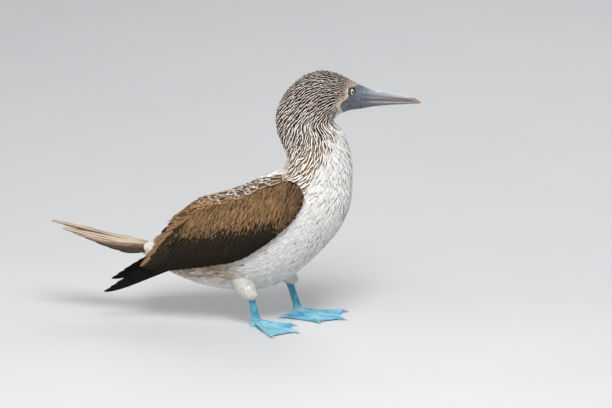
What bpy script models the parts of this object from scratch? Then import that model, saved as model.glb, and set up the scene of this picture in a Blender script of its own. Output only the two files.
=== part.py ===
"""A blue-footed booby standing on both feet, life size.

Metres, +Z up. The bird faces +X, its right side is -Y, and it is drawn first about its own middle
plane, y = 0, with the floor at z = 0. An empty at the end carries every piece, so that the origin
is on the floor under the middle of the bird's extent.
"""

import math

import bmesh
import bpy
from mathutils import Matrix, Vector

MM = 0.001
GAP = 0.3 * MM  # kept between pieces that touch
CLEARANCE = 1.15 * GAP  # cut off a piece that lies against another, as their flat faces lean inwards
SHARP_ANGLE = 40  # degrees between faces that meet in a sharp edge

# Flesh and small feathers from the rump to the face, one row for each section of the body, in mm:
# the back's x and z, the belly's x and z, and half the width.
BODY = (
    (-149, 126, -146, 101, 15),
    (-131, 136, -126, 87, 28),
    (-96, 157, -96, 73, 43),
    (-64, 185, -59, 60, 54),
    (-26, 205, -16, 53, 61),
    (12, 221, 32, 53, 65),
    (44, 236, 82, 69, 66),
    (66, 250, 132, 110.5, 64),
    (81, 263, 172, 158, 59),
    (87, 278, 191, 201, 52),
    (83, 292, 195, 244, 45),
    (77, 305, 193, 284, 40),
    (71, 320, 181, 321, 36.5),
    (68, 337, 164, 340, 34.5),
    (69, 357, 166, 348, 34),
    (77, 379, 173, 355, 33.5),
    (91, 399, 181, 359, 32.5),
    (112, 417, 187, 362, 30.5),
    (137, 427, 193, 363.5, 27.5),
    (164, 424.8, 199, 364.5, 23.5),
    (187, 415.2, 205, 365.5, 18.5),
    (211, 404, 211, 366.5, 13.5),
)
BODY_SIDES = 28
BODY_RINGS_PER_ROW = 2

# Where the body is parted: a point on each cut and the way the cut faces, in the middle plane.
NECK_BASE = ((84, 271), (183, 180))
THROAT = ((68, 345), (166, 343))

# Horny bill: x, top z, bottom z, half the width.
BILL = (
    (211, 404, 366.5, 13.5),
    (221, 401.4, 368.7, 11.9),
    (232, 399, 370.8, 10.4),
    (259, 394.3, 374.3, 7.8),
    (287, 390.2, 376.6, 5.6),
    (300, 386, 377.6, 4.2),
    (307.5, 381, 378.6, 1.5),
)
MOUTH = ((186, 381.6), (211, 382), (232, 381.9), (259, 381.6), (287, 381), (310, 379.8))
MOUTH_GAP = 0.4
LIP_DEPTH = 1.3  # of the groove that takes the mouth line back over the cheek
LIP_HEIGHT = 1.0
BILL_SIDES = 14

EYE = (196.5, 398)
EYE_RADIUS = 7.2
EYE_LOOKS = 40  # degrees that the eye faces forward of straight sideways
EYE_RISES = 0.08  # upward share of the way it looks
EYE_SINK = 0.6  # further back than where its cap would fill the lid's opening
LID_OPENING = 5.6
LID_TUBE = 1.1
LID_OVERHANG = 0.3  # how far the ring of lid reaches in over its opening

# Surface that the folded right wing lies on, as upright half ellipses: x, middle z, half height, width.
WING_FORM = (
    (130, 208, 84, 58),
    (118, 200, 86, 66),
    (100, 185, 92, 72.5),
    (60, 158, 97, 76),
    (20, 140, 92, 75.5),
    (-20, 131, 85, 72),
    (-60, 124, 79, 65),
    (-88, 118, 67, 58),
    (-110, 111, 61, 54),
    (-150, 92, 57, 50),
    (-215, 55, 55, 49),
)
WING_TOP = (
    (124, 231), (113, 247), (92, 254), (60, 245), (20, 224), (-20, 209),
    (-60, 196), (-88, 175), (-110, 156), (-130, 131), (-149, 98),
)
WING_LOW = (
    (125, 227), (121, 211), (109, 192), (86, 168), (57, 147), (26, 123),
    (6, 111), (-25, 106), (-79, 96), (-114, 89), (-135, 87), (-148, 93),
)
WING_THICK = 9
WING_EDGE_DROP = 4.5
WING_EDGES = (0.12, 0.08, 0.16)  # shares of the plate over which its front, rear and long edges drop
WING_PLATE_REACH = 0.88  # how far down to the tips of the long feathers the plate under them goes
WING_FULL_FRONT = (0.22, 0.15)  # where the plate starts to fall short of them, and over what share
WING_REAR_THINNER = (0.45, 0.2, 3.2)  # where the plate starts to thin, over what share, and by how much

# Tiers of vanes on the right wing, the lowest first: how many, the line of their roots and the line
# of their tips, from front to rear in x and z, their width, and their lift off the wing at the tip.
WING_TIERS = (
    (9, ((82, 188), (22, 166), (-80, 138)),
     ((46, 146), (11, 121), (-22, 110), (-79, 98), (-128, 88)), 20, 0.9),
    (8, ((108, 206), (40, 190), (-55, 170)), ((84, 168), (30, 144), (-40, 127), (-108, 106)), 23, 1.5),
    (7, ((105, 232), (40, 213), (-45, 187)),
     ((88, 200), (16, 176), (-24, 165), (-54, 162), (-88, 150)), 24, 1.6),
    (5, ((38, 212), (-20, 191), (-52, 160)), ((-66, 184), (-106, 156), (-149, 97)), 24, 2.2),
)

# Primaries of the folded wing, seen from the side: the plate that carries them, then their tier.
HAND_TOP = ((-76, 119), (-100, 112), (-130, 101), (-158, 88))
HAND_LOW = ((-76, 101), (-100, 95), (-130, 84), (-160, 75))
HAND_TIER = (4, ((-92, 102), (-94, 110)), ((-212, 49), (-193, 64), (-172, 78), (-150, 91)), 14)
HAND_SINK = 6.8
HAND_THICK = 3.6
HAND_COVER = 0.8  # depth of the hand's plate under its sunk face
HAND_EDGE_DROP = 0.6
HAND_LIFTS = (-0.4, -0.3)  # of its feathers' roots and tips off the sunk face

# A vane's length, 0 at the root and 1 at the tip, and the share of its full width there.
VANE_SHAPE = ((0, 0.65), (0.5, 1.0), (0.84, 0.82), (1, 0.25))
VANE_THICK = 1.5
VANE_SINK = -0.5  # lift of a vane's root, so that the tier above covers it
VANE_TILT = 0.9  # drop of a vane's rear edge, under its neighbour's front edge
VANE_RIDGE = 0.25  # height of the shaft over the edges
VANE_BOW = 0.05  # sideways bend, as a share of the length

# Tail's roof: x, z of its ridge, half the width and the drop of its edges, all in mm.
TAIL = (
    (-143, 127, 15, 18),
    (-165, 131, 25, 21),
    (-200, 136, 27, 18),
    (-250, 147, 19, 13),
    (-285, 153, 9, 6),
    (-307, 156.5, 2, 1.2),
)
TAIL_CORE = 0.8  # share of the roof's width and drop that the core under the vanes takes
TAIL_CORE_DROP = 1.2
TAIL_CORE_THICK = (2, 0.12)  # thickness, and the share of half the width that adds to it
TAIL_ROOTS = ((-150, 3), (-148, 6), (-147, 9))  # x and y on the right half, the middle pair first
TAIL_TIPS = ((-307, 2), (-283, 9), (-250, 17), (-218, 24), (-190, 26))
TAIL_PAIRS = 5
TAIL_VANE_WIDTH = 17
TAIL_LIFTS = (0.4, 1.2, 0.22)  # at the root, at the middle pair's tip, and less by this for each next pair
TAIL_BOW = 0.02

# Legs: the joint's middle on the floor, the upper end inside the thigh, and the foot's heading.
LEGS = {
    "right": {"side": -1, "joint": (39, -38), "top": (29, -37, 60), "cuff": 46, "heading": -32},
    "left": {"side": 1, "joint": (98, 38), "top": (80, 37, 70), "cuff": 58, "heading": -10},
}
LEG_FOOT_CUT = 15  # height of the cut between leg and foot
LEG_SIDES = 14
# Share of the way up, half length and half width.
SHANK = ((0, 6.9, 6.2), (0.15, 6.3, 5.2), (0.5, 5.8, 4.4), (0.85, 6.6, 5.2), (1, 6.8, 5.6))
# Height over the cuff, how far it is moved back, half length and half width.
THIGH = ((0, 3, 11, 10), (3.5, 4, 16, 14), (10, 6, 20, 18), (20, 8, 23, 21), (34, 8, 25, 23), (50, 6, 20, 18))
THIGH_SIDES = 20
THIGH_SPREAD = 0.12  # outward lean of the thigh over the shank's own
ANKLE = ((-1, 7.5, 7), (4, 8.6, 8), (9, 8, 7.4), (18, 6.9, 6.2))  # height, half length and half width
ANKLE_BACK = 0.5
TOES = ((34, 126, 3.0), (62, 38, 3.3), (82, 5, 3.6), (80, -30, 3.6))  # length, degrees inwards, radius
TOE_SHAPE = ((0, 1.5), (0.2, 1.15), (0.48, 1.04), (0.72, 0.9), (0.88, 0.98), (1, 0.72))  # pads and joints
TOE_ARCH = (6.5, 1.35, 1.6)  # height at the joint, how soon it is spent, and how sharply
CLAW_LENGTH = 7
CLAW_SHAPE = ((0, 0.6), (0.45, 0.5), (0.8, 0.3), (1, 0.1))
CLAW_FLATNESS = 0.8
CLAW_RISE = 0.6
PAD_CUT = 0.5  # taken off under the toes, so that they rest on flats
WEB_THICK = 1.4
WEB_NOTCH = 0.05
WEB_SPAN = (0.058, 0.902)  # where on the toes it starts, and over what share it runs
WEB_SAG = 0.35
WEB_CLEAR = 1.0  # height of its underside off the floor
FAR = 400  # past every side of the bird, for cutters


def blend_rows(rows, per_row):
    """Rows of numbers, with smooth steps put between them."""
    found = []
    last = len(rows) - 1
    for i in range(last):
        before, here = rows[max(i - 1, 0)], rows[i]
        there, after = rows[i + 1], rows[min(i + 2, last)]
        for k in range(per_row):
            t = k / per_row
            found.append(
                tuple(
                    0.5 * (2 * b + (c - a) * t + (2 * a - 5 * b + 4 * c - d) * t * t
                           + (3 * b - a - 3 * c + d) * t ** 3)
                    for a, b, c, d in zip(before, here, there, after)
                )
            )
    return found + [tuple(rows[-1])]


def between(rows, x):
    """The row of a table at x, its first number."""
    ordered = sorted(rows)
    x = min(max(x, ordered[0][0]), ordered[-1][0])
    for low, high in zip(ordered, ordered[1:]):
        if x <= high[0]:
            t = (x - low[0]) / (high[0] - low[0])
            return tuple(a + (b - a) * t for a, b in zip(low[1:], high[1:]))
    return ordered[-1][1:]


def along(points, count):
    """A number of points spaced evenly on a smooth line through some points."""
    dense = [Vector(p) for p in blend_rows(points, 8)]
    reach = [0.0]
    for a, b in zip(dense, dense[1:]):
        reach.append(reach[-1] + (b - a).length)
    found = []
    k = 0
    for i in range(count):
        want = reach[-1] * i / (count - 1)
        while k < len(dense) - 2 and reach[k + 1] < want:
            k += 1
        share = (want - reach[k]) / max(reach[k + 1] - reach[k], 1e-9)
        found.append(dense[k].lerp(dense[k + 1], min(share, 1)))
    return found


def paint(name, colour, roughness):
    material = bpy.data.materials.get(name) or bpy.data.materials.new(name)
    material.use_nodes = True
    shader = material.node_tree.nodes["Principled BSDF"]
    shader.inputs["Base Color"].default_value = (*colour, 1)
    shader.inputs["Roughness"].default_value = roughness
    shader.inputs["Metallic"].default_value = 0
    return material


def mesh_piece(name, points, faces, material=None):
    """A mesh object from points in mm."""
    mesh = bpy.data.meshes.new(name)
    mesh.from_pydata([Vector(p) * MM for p in points], [], faces)
    piece = bpy.data.objects.new(name, mesh)
    parts.objects.link(piece)
    if material:
        mesh.materials.append(material)
    return piece


def loft(name, rings, material=None):
    """A closed tube through rings of points, with flat ends."""
    sides = len(rings[0])
    points = [p for ring in rings for p in ring]
    faces = [tuple(reversed(range(sides)))]
    for i in range(len(rings) - 1):
        for j in range(sides):
            a, b = i * sides + j, i * sides + (j + 1) % sides
            faces.append((a, b, b + sides, a + sides))
    faces.append(tuple(range(len(points) - sides, len(points))))
    return mesh_piece(name, points, faces, material)


def oval(centre, up, out, sides):
    """A ring of points round a centre, from its two half axes."""
    turns = [2 * math.pi * j / sides for j in range(sides)]
    return [centre + up * math.cos(turn) + out * math.sin(turn) for turn in turns]


def remove(piece):
    bpy.data.objects.remove(piece)


def fix_normals(piece):
    """Faces turned outwards, after points that coincide are joined."""
    form = bmesh.new()
    form.from_mesh(piece.data)
    bmesh.ops.remove_doubles(form, verts=form.verts, dist=0.001 * MM)
    bmesh.ops.recalc_face_normals(form, faces=form.faces)
    form.to_mesh(piece.data)
    form.free()


def apply_modifiers(piece):
    graph = bpy.context.evaluated_depsgraph_get()
    mesh = bpy.data.meshes.new_from_object(piece.evaluated_get(graph))
    piece.modifiers.clear()
    piece.data = mesh


def boolean(piece, other, operation, solver="EXACT"):
    step = piece.modifiers.new("cut", "BOOLEAN")
    step.operation = operation
    step.solver = solver
    step.object = other
    apply_modifiers(piece)


def fuse(name, pieces, material, solver="MANIFOLD"):
    """One closed solid from pieces that overlap. The first takes the node's name."""
    base = pieces[0]
    if len(pieces) > 1:
        rest = bpy.data.collections.new("joined")
        for piece in pieces[1:]:
            rest.objects.link(piece)
        step = base.modifiers.new("join", "BOOLEAN")
        step.operation = "UNION"
        step.solver = solver
        step.operand_type = "COLLECTION"
        step.collection = rest
        apply_modifiers(base)
        for piece in list(rest.objects):
            remove(piece)
        bpy.data.collections.remove(rest)
    base.name = name
    base.data.materials.clear()
    base.data.materials.append(material)
    keep_largest(base)
    return base


def islands(form):
    """The closed surfaces of a bmesh, as lists of faces."""
    left, found = set(form.faces), []
    while left:
        group, edge = [], [left.pop()]
        while edge:
            face = edge.pop()
            group.append(face)
            for line in face.edges:
                for near in line.link_faces:
                    if near in left:
                        left.remove(near)
                        edge.append(near)
        found.append(group)
    return found


def room_in(faces):
    """The volume inside some faces, by fans from the origin."""
    total = 0.0
    for face in faces:
        corners = [v.co for v in face.verts]
        for a, b in zip(corners[1:], corners[2:]):
            total += corners[0].dot(a.cross(b)) / 6
    return abs(total)


def keep_largest(piece):
    form = bmesh.new()
    form.from_mesh(piece.data)
    groups = sorted(islands(form), key=room_in)
    loose = [face for group in groups[:-1] for face in group]
    bmesh.ops.delete(form, geom=loose, context="FACES")
    form.to_mesh(piece.data)
    form.free()


def part_in_two(piece, cutter, first, second, toward):
    """Cuts a piece by a thin cutter. The piece keeps the half further along toward, named first."""
    boolean(piece, cutter, "DIFFERENCE")
    remove(cutter)
    other = piece.copy()
    other.data = piece.data.copy()
    parts.objects.link(other)
    piece.name, other.name = first, second
    for half, sign in ((piece, 1), (other, -1)):
        form = bmesh.new()
        form.from_mesh(half.data)
        groups = sorted(islands(form), key=room_in)
        ends = sorted(groups[-2:], key=lambda g: sign * middle_of(g).dot(toward))
        loose = [face for group in groups if group is not ends[-1] for face in group]
        bmesh.ops.delete(form, geom=loose, context="FACES")
        form.to_mesh(half.data)
        form.free()
    return piece, other


def middle_of(faces):
    spots = [face.calc_center_median() for face in faces]
    return sum(spots, Vector()) / len(spots)


def flat_cutter(line):
    """A thin slab across the body, through two points of the middle plane."""
    a, b = (Vector((x, 0, z)) * MM for x, z in line)
    run = (b - a).normalized()
    face = Vector((-run.z, 0, run.x))
    bpy.ops.mesh.primitive_cube_add(size=1)
    slab = bpy.context.object
    slab.data.transform(Matrix.Diagonal((FAR * MM, FAR * MM, GAP, 1)))
    turn = Matrix((run, Vector((0, -1, 0)), face)).transposed().to_4x4()
    slab.data.transform(Matrix.Translation((a + b) / 2) @ turn)
    fix_normals(slab)
    return slab


def grown(piece, amount):
    """A copy that stands out from a piece by the same amount all over."""
    form = bmesh.new()
    form.from_mesh(piece.data)
    form.normal_update()
    moves = [vert.normal * amount for vert in form.verts]
    for vert, move in zip(form.verts, moves):
        vert.co += move
    copy = piece.copy()
    copy.data = bpy.data.meshes.new("grown")
    form.to_mesh(copy.data)
    form.free()
    parts.objects.link(copy)
    return copy


def clear_of(piece, neighbour):
    """Cuts a piece back so that it lies against its neighbour, the usual gap away."""
    cutter = grown(neighbour, CLEARANCE)
    boolean(piece, cutter, "DIFFERENCE")
    remove(cutter)
    keep_largest(piece)


def mirrored(piece, name):
    """The same piece on the bird's other side."""
    twin = piece.copy()
    twin.data = piece.data.copy()
    twin.data.transform(Matrix.Scale(-1, 4, (0, 1, 0)))
    twin.data.flip_normals()
    twin.name = name
    parts.objects.link(twin)
    return twin


def body_ring(row):
    back, belly = Vector((row[0], 0, row[1])), Vector((row[2], 0, row[3]))
    return oval((back + belly) / 2, (back - belly) / 2, Vector((0, -row[4], 0)), BODY_SIDES)


def make_body():
    rings = [body_ring(row) for row in blend_rows(BODY, BODY_RINGS_PER_ROW)]
    body = loft("body", rings)
    fix_normals(body)
    return body


def bill_ring(row):
    x, top, bottom, half = row
    middle = Vector((x, 0, (top + bottom) / 2))
    return oval(middle, Vector((0, 0, (top - bottom) / 2)), Vector((0, -half, 0)), BILL_SIDES)


def slot_ring(spot, inner, outer, height):
    """A section of a flat cutter round a spot of the middle plane, given as x and z."""
    low, high = spot.y - height / 2, spot.y + height / 2
    corners = ((inner, low), (inner, high), (outer, high), (outer, low))
    return [Vector((spot.x, y, z)) for y, z in corners]


def mouth_cutter():
    """A thin bent slab along the mouth line, wider than the bill."""
    line = along([(x, z, 0) for x, z in MOUTH], 14)
    cutter = loft("mouth_cutter", [slot_ring(spot, -FAR, FAR, MOUTH_GAP) for spot in line])
    fix_normals(cutter)
    return cutter


def make_bill(material):
    rows = [(BILL[0][0] + GAP / MM, *BILL[0][1:]), *BILL[1:]]
    bill = loft("bill", [bill_ring(row) for row in blend_rows(rows, 2)], material)
    fix_normals(bill)
    return part_in_two(bill, mouth_cutter(), "bill_upper", "bill_lower", Vector((0, 0, 1)))


def from_side(body, side, x, z):
    """Whether and where a level line from one side first meets the body."""
    hit, spot, _, _ = body.ray_cast(Vector((x, side * FAR, z)) * MM, Vector((0, -side, 0)))
    return hit, spot


def groove_mouth(head, body):
    """A shallow line from the bill back to the corner of the mouth, on both cheeks."""
    for side in (-1, 1):
        rings = []
        depth = BODY[-1][-1]
        for place in along([(x, z, 0) for x, z in MOUTH[:3]], 8):
            hit, spot = from_side(body, side, place.x, place.y)
            depth = abs(spot.y) / MM if hit else depth
            rings.append(slot_ring(place, side * (depth - LIP_DEPTH), side * (depth + LIP_DEPTH), LIP_HEIGHT))
        cutter = loft("groove", rings)
        fix_normals(cutter)
        boolean(head, cutter, "DIFFERENCE")
        remove(cutter)
    keep_largest(head)


def eye_frame(side, body):
    """Middle of the eyeball and the way that it looks, from where the face's surface is."""
    turn = math.radians(EYE_LOOKS)
    looks = Vector((math.sin(turn), side * math.cos(turn), EYE_RISES)).normalized()
    _, spot = from_side(body, side, *EYE)
    depth = math.sqrt(EYE_RADIUS ** 2 - LID_OPENING ** 2)
    return spot - looks * (depth + EYE_SINK) * MM, looks


def make_eyes(head, body, materials):
    """Eyeballs in their sockets, each with a ring of lid round it."""
    for side, word in ((-1, "right"), (1, "left")):
        centre, looks = eye_frame(side, body)
        turn = looks.to_track_quat("Z", "Y").to_matrix().to_4x4()
        out = math.sqrt(EYE_RADIUS ** 2 - LID_OPENING ** 2) * MM
        bpy.ops.mesh.primitive_torus_add(
            major_radius=(LID_OPENING + LID_TUBE - LID_OVERHANG) * MM, minor_radius=LID_TUBE * MM,
            major_segments=18, minor_segments=6)
        lid = bpy.context.object
        lid.data.transform(Matrix.Translation(centre + looks * out) @ turn)
        boolean(head, lid, "UNION", "MANIFOLD")
        remove(lid)
        bpy.ops.mesh.primitive_uv_sphere_add(segments=16, ring_count=8, radius=EYE_RADIUS * MM)
        eye = bpy.context.object
        eye.name = "eye_" + word
        eye.data.transform(Matrix.Translation(centre) @ turn)
        eye.data.materials.append(materials["eye"])
        move_in(eye)
        socket = grown(eye, GAP)
        boolean(head, socket, "DIFFERENCE", "MANIFOLD")
        remove(socket)
    keep_largest(head)


def move_in(piece):
    """Puts a piece that an operator made into the bird's own collection."""
    for holder in list(piece.users_collection):
        holder.objects.unlink(piece)
    parts.objects.link(piece)


def on_wing(x, z, lift=0.0):
    """The point of the right wing's surface at x, z, moved off it by lift."""
    middle, half, width = between(WING_SMOOTH, x)
    share = max(-0.985, min(0.985, (z - middle) / half))
    y = -width * math.sqrt(1 - share * share)
    face = Vector((0, y / width ** 2, share / half)).normalized()
    return Vector((x, y, z)) + face * lift


def plate(name, front, back, rows):
    """A closed plate between two like grids of points, split into triangles alike on both faces."""
    size, count = len(front), len(front) // rows
    faces = []
    for i in range(count - 1):
        for j in range(rows - 1):
            a = i * rows + j
            b, c, d = a + rows, a + rows + 1, a + 1
            faces += [(a, b, c), (a, c, d)]
            faces += [(a + size, c + size, b + size), (a + size, d + size, c + size)]
    rim = [i * rows for i in range(count)] + [(count - 1) * rows + j for j in range(1, rows)]
    rim += [i * rows + rows - 1 for i in range(count - 2, -1, -1)] + list(range(rows - 2, 0, -1))
    for a, b in zip(rim, rim[1:] + rim[:1]):
        faces += [(b, a, a + size), (b, a + size, b + size)]
    piece = mesh_piece(name, front + back, faces)
    fix_normals(piece)
    return piece


def sheet(name, top, low, count, rows, reach, outer, inner):
    """A plate on the wing's surface between two outlines, from a reach and lifts given by functions."""
    tops, lows = along(top, count), along(low, count)
    front, back = [], []
    for i in range(count):
        for j in range(rows):
            t, v = i / (count - 1), j / (rows - 1)
            spot = tops[i].lerp(lows[i], v * reach(t))
            front.append(on_wing(spot.x, spot.y, outer(t, v)))
            back.append(on_wing(spot.x, spot.y, inner(t, v)))
    return plate(name, front, back, rows)


def vane(surface, root, tip, width, lifts, bow=VANE_BOW, flip=1):
    """One long feather on a surface, from its root to its tip, its rear edge under its neighbour."""
    line = tip - root
    across = Vector((line.y, -line.x)).normalized() * flip
    front, back = [], []
    for share, size in VANE_SHAPE:
        middle = root + line * share + across * (bow * line.length * 4 * share * (1 - share))
        for side in (-1, 0, 1):
            spot = middle + across * (side * size * width / 2)
            lift = lifts[0] + (lifts[1] - lifts[0]) * share - VANE_TILT * (side + 1) / 2
            lift += VANE_RIDGE * (side == 0)
            front.append(surface(spot.x, spot.y, lift))
            back.append(surface(spot.x, spot.y, lift - VANE_THICK))
    return plate("vane", front, back, 3)


def tier(surface, count, roots, tips, width, lifts):
    """A row of vanes with their roots on one line and their tips on another."""
    starts, ends = along(roots, count), along(tips, count)
    return [vane(surface, a, b, width, lifts) for a, b in zip(starts, ends)]


def edge_share(t, v):
    """How near a place on a plate is to its rim, from 0 inside to 1 on it."""
    front, rear, long = WING_EDGES
    near = min(t / front, (1 - t) / rear, v / long, (1 - v) / long, 1.0)
    return (1 - near) ** 2


def stage_of(t, start, span):
    """How far a change that begins at a start has come at t, from 0 to 1."""
    return min(1, max(0, (t - start) / span))


def make_wing(materials):
    """The folded right wing: a plate that carries tiers of overlapping vanes."""
    start, span, thinner = WING_REAR_THINNER
    pieces = [sheet(
        "wing_right", WING_TOP, WING_LOW, 16, 6,
        lambda t: 1 - (1 - WING_PLATE_REACH) * stage_of(t, *WING_FULL_FRONT),
        lambda t, v: -WING_EDGE_DROP * edge_share(t, v),
        lambda t, v: -WING_THICK + thinner * stage_of(t, start, span))]
    for count, roots, tips, width, lift in WING_TIERS:
        pieces += tier(on_wing, count, roots, tips, width, (VANE_SINK, lift))
    return fuse("wing_right", pieces, materials["wing"])


def make_primaries(materials):
    """The long outer feathers of the right wing, under its plate."""
    pieces = [sheet(
        "primaries_right", HAND_TOP, HAND_LOW, 5, 3,
        lambda t: 1,
        lambda t, v: -HAND_SINK - HAND_COVER - HAND_EDGE_DROP * edge_share(t, v),
        lambda t, v: -HAND_SINK - HAND_THICK)]
    pieces += tier(on_wing, *HAND_TIER, [lift - HAND_SINK for lift in HAND_LIFTS])
    return fuse("primaries_right", pieces, materials["flight"])


def tail_ring(row):
    """A roof-shaped section of the tail."""
    x, ridge, half, drop = row
    thick = TAIL_CORE_THICK[0] + half * TAIL_CORE_THICK[1]
    outline = ((0, 0), (-0.55, -0.42), (-1, -1), (-0.9, -1 - thick / max(drop, 1)),
               (0, -thick / max(drop, 1) - 0.25), (0.9, -1 - thick / max(drop, 1)), (1, -1), (0.55, -0.42))
    return [Vector((x, half * y, ridge + drop * z)) for y, z in outline]


def on_tail(x, y, lift=0.0):
    """The point of the tail's roof at x, y, moved off it by lift."""
    ridge, half, drop = between(TAIL_SMOOTH, x)
    share = abs(y) / half
    slope = math.copysign(drop / half, y) if y else 0.0
    face = Vector((0, slope, 1)).normalized()
    return Vector((x, y, ridge - drop * share)) + face * lift


def make_tail(body, materials):
    """The tail: pairs of graduated feathers laid like a roof on a core, the middle pair on top."""
    core = [(x, ridge - TAIL_CORE_DROP, half * TAIL_CORE, drop * TAIL_CORE)
            for x, ridge, half, drop in TAIL[:-1]]
    tail = loft("tail", [tail_ring(row) for row in blend_rows(core, 2)])
    fix_normals(tail)
    pieces = [tail]
    starts, ends = along(TAIL_ROOTS, TAIL_PAIRS), along(TAIL_TIPS, TAIL_PAIRS)
    low, high, less = TAIL_LIFTS
    for number, (root, tip) in enumerate(zip(starts, ends)):
        lifts = (low, high - less * number)
        for side in (-1, 1):
            a, b = (Vector((p.x, side * p.y)) for p in (root, tip))
            pieces.append(vane(on_tail, a, b, TAIL_VANE_WIDTH, lifts, TAIL_BOW, side))
    tail = fuse("tail", pieces, materials["tail"])
    clear_of(tail, body)
    return tail


def tube(name, stops, sides, material=None):
    """A closed tube through (point, radius across, radius along) stops, with level rings."""
    rings = [oval(Vector(p), Vector((a, 0, 0)), Vector((0, b, 0)), sides) for p, a, b in stops]
    piece = loft(name, rings, material)
    fix_normals(piece)
    return piece


def make_leg(word, leg, materials):
    (jx, jy), top = leg["joint"], Vector(leg["top"])
    foot = Vector((jx, jy, LEG_FOOT_CUT + GAP / MM))
    stops = [(foot.lerp(top, share), fore, side) for share, fore, side in SHANK]
    return tube("leg_" + word, stops, LEG_SIDES, materials["leg"])


def make_thigh(word, leg, body, shank, materials):
    """The feathered lower thigh, from inside the belly to the cuff round the leg."""
    cuff, side = leg["cuff"], leg["side"]
    top = Vector(leg["top"])
    foot = Vector((*leg["joint"], LEG_FOOT_CUT))
    lean = (top - foot) / (top.z - foot.z)
    stops = []
    for up, back, fore, width in THIGH:
        spot = top + lean * (cuff + up - top.z)
        spot.x -= back
        spot.y -= side * up * THIGH_SPREAD
        stops.append((spot, fore, width))
    thigh = tube("thigh_" + word, stops, THIGH_SIDES, materials["white"])
    clear_of(thigh, body)
    clear_of(thigh, shank)
    return thigh


def toe_height(share, radius):
    """Height of a toe's middle: arched up at the joint, with all its pads on the floor."""
    height, haste, sharpness = TOE_ARCH
    return radius - PAD_CUT + height * max(0, 1 - share * haste) ** sharpness


def toe_spot(leg, toe, share):
    """A point on a toe's middle line, from the joint, 0, to its end, 1."""
    length, inwards, radius = toe
    turn = math.radians(leg["heading"] - leg["side"] * inwards)
    reach = length * share
    jx, jy = leg["joint"]
    return Vector((jx + reach * math.cos(turn), jy + reach * math.sin(turn), toe_height(share, radius)))


def toe_tube(leg, toe):
    _, inwards, radius = toe
    turn = math.radians(leg["heading"] - leg["side"] * inwards)
    out = Vector((-math.sin(turn), math.cos(turn), 0))
    rings = []
    for share, size in TOE_SHAPE:
        spot = toe_spot(leg, toe, share)
        r = radius * size
        spot.z += min(0, r - radius)
        rings.append(oval(spot, Vector((0, 0, r)), out * r, 8))
    piece = loft("toe", rings)
    fix_normals(piece)
    return piece


def web(leg, first, second, count=6, rows=4):
    """Skin between two toes, with a hollow front edge."""
    top, bottom = [], []
    for i in range(count):
        for j in range(rows):
            v = j / (rows - 1)
            share = (WEB_SPAN[0] + WEB_SPAN[1] * i / (count - 1)) * (1 - WEB_NOTCH * 4 * v * (1 - v))
            spot = toe_spot(leg, first, share).lerp(toe_spot(leg, second, share), v)
            spot.z = max(spot.z * (1 - WEB_SAG * 4 * v * (1 - v)), WEB_CLEAR + WEB_THICK / 2)
            top.append(spot + Vector((0, 0, WEB_THICK / 2)))
            bottom.append(spot - Vector((0, 0, WEB_THICK / 2)))
    return plate("web", top, bottom, rows)


def slab_cutter(low, high):
    """A wide level slab between two heights."""
    bpy.ops.mesh.primitive_cube_add(size=1)
    slab = bpy.context.object
    slab.data.transform(Matrix.Diagonal((2 * FAR * MM, 2 * FAR * MM, (high - low) * MM, 1)))
    slab.data.transform(Matrix.Translation((0, 0, (low + high) / 2 * MM)))
    return slab


def make_foot(word, leg, materials):
    """Four toes and the three webs between them, flat where they meet the floor."""
    jx, jy = leg["joint"]
    ankle = tube("ankle", [((jx - ANKLE_BACK, jy, z), fore, side) for z, fore, side in ANKLE], LEG_SIDES)
    pieces = [ankle, *[toe_tube(leg, toe) for toe in TOES]]
    pieces += [web(leg, a, b) for a, b in zip(TOES, TOES[1:])]
    foot = fuse("foot_" + word, pieces, materials["web"])
    for low, high in ((-FAR, 0), (LEG_FOOT_CUT, FAR)):
        cutter = slab_cutter(low, high)
        boolean(foot, cutter, "DIFFERENCE")
        remove(cutter)
    keep_largest(foot)
    return foot


def make_claws(word, leg, materials):
    for number, toe in enumerate(TOES, 1):
        _, inwards, radius = toe
        turn = math.radians(leg["heading"] - leg["side"] * inwards)
        out = Vector((-math.sin(turn), math.cos(turn), 0))
        ahead = Vector((math.cos(turn), math.sin(turn), 0))
        end = toe_spot(leg, toe, 1) + ahead * (GAP / MM)
        rings = []
        for share, size in CLAW_SHAPE:
            r = radius * size
            spot = end + ahead * (CLAW_LENGTH * share)
            spot.z = r + CLAW_RISE * (1 - share)
            rings.append(oval(spot, Vector((0, 0, r)), out * r * CLAW_FLATNESS, 6))
        claw = loft(f"claw_{word}_{number}", rings, materials["claw"])
        fix_normals(claw)


def stand_on_origin(pieces):
    """Hangs every piece on an empty, set so that the origin is under the middle of the bird."""
    holder = bpy.data.objects.new("booby", None)
    parts.objects.link(holder)
    spots = [v.co for piece in pieces for v in piece.data.vertices]
    low, high = (Vector([pick(p[k] for p in spots) for k in range(3)]) for pick in (min, max))
    holder.location = (-(low.x + high.x) / 2, -(low.y + high.y) / 2, -low.z)
    for piece in pieces:
        piece.parent = holder


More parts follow.
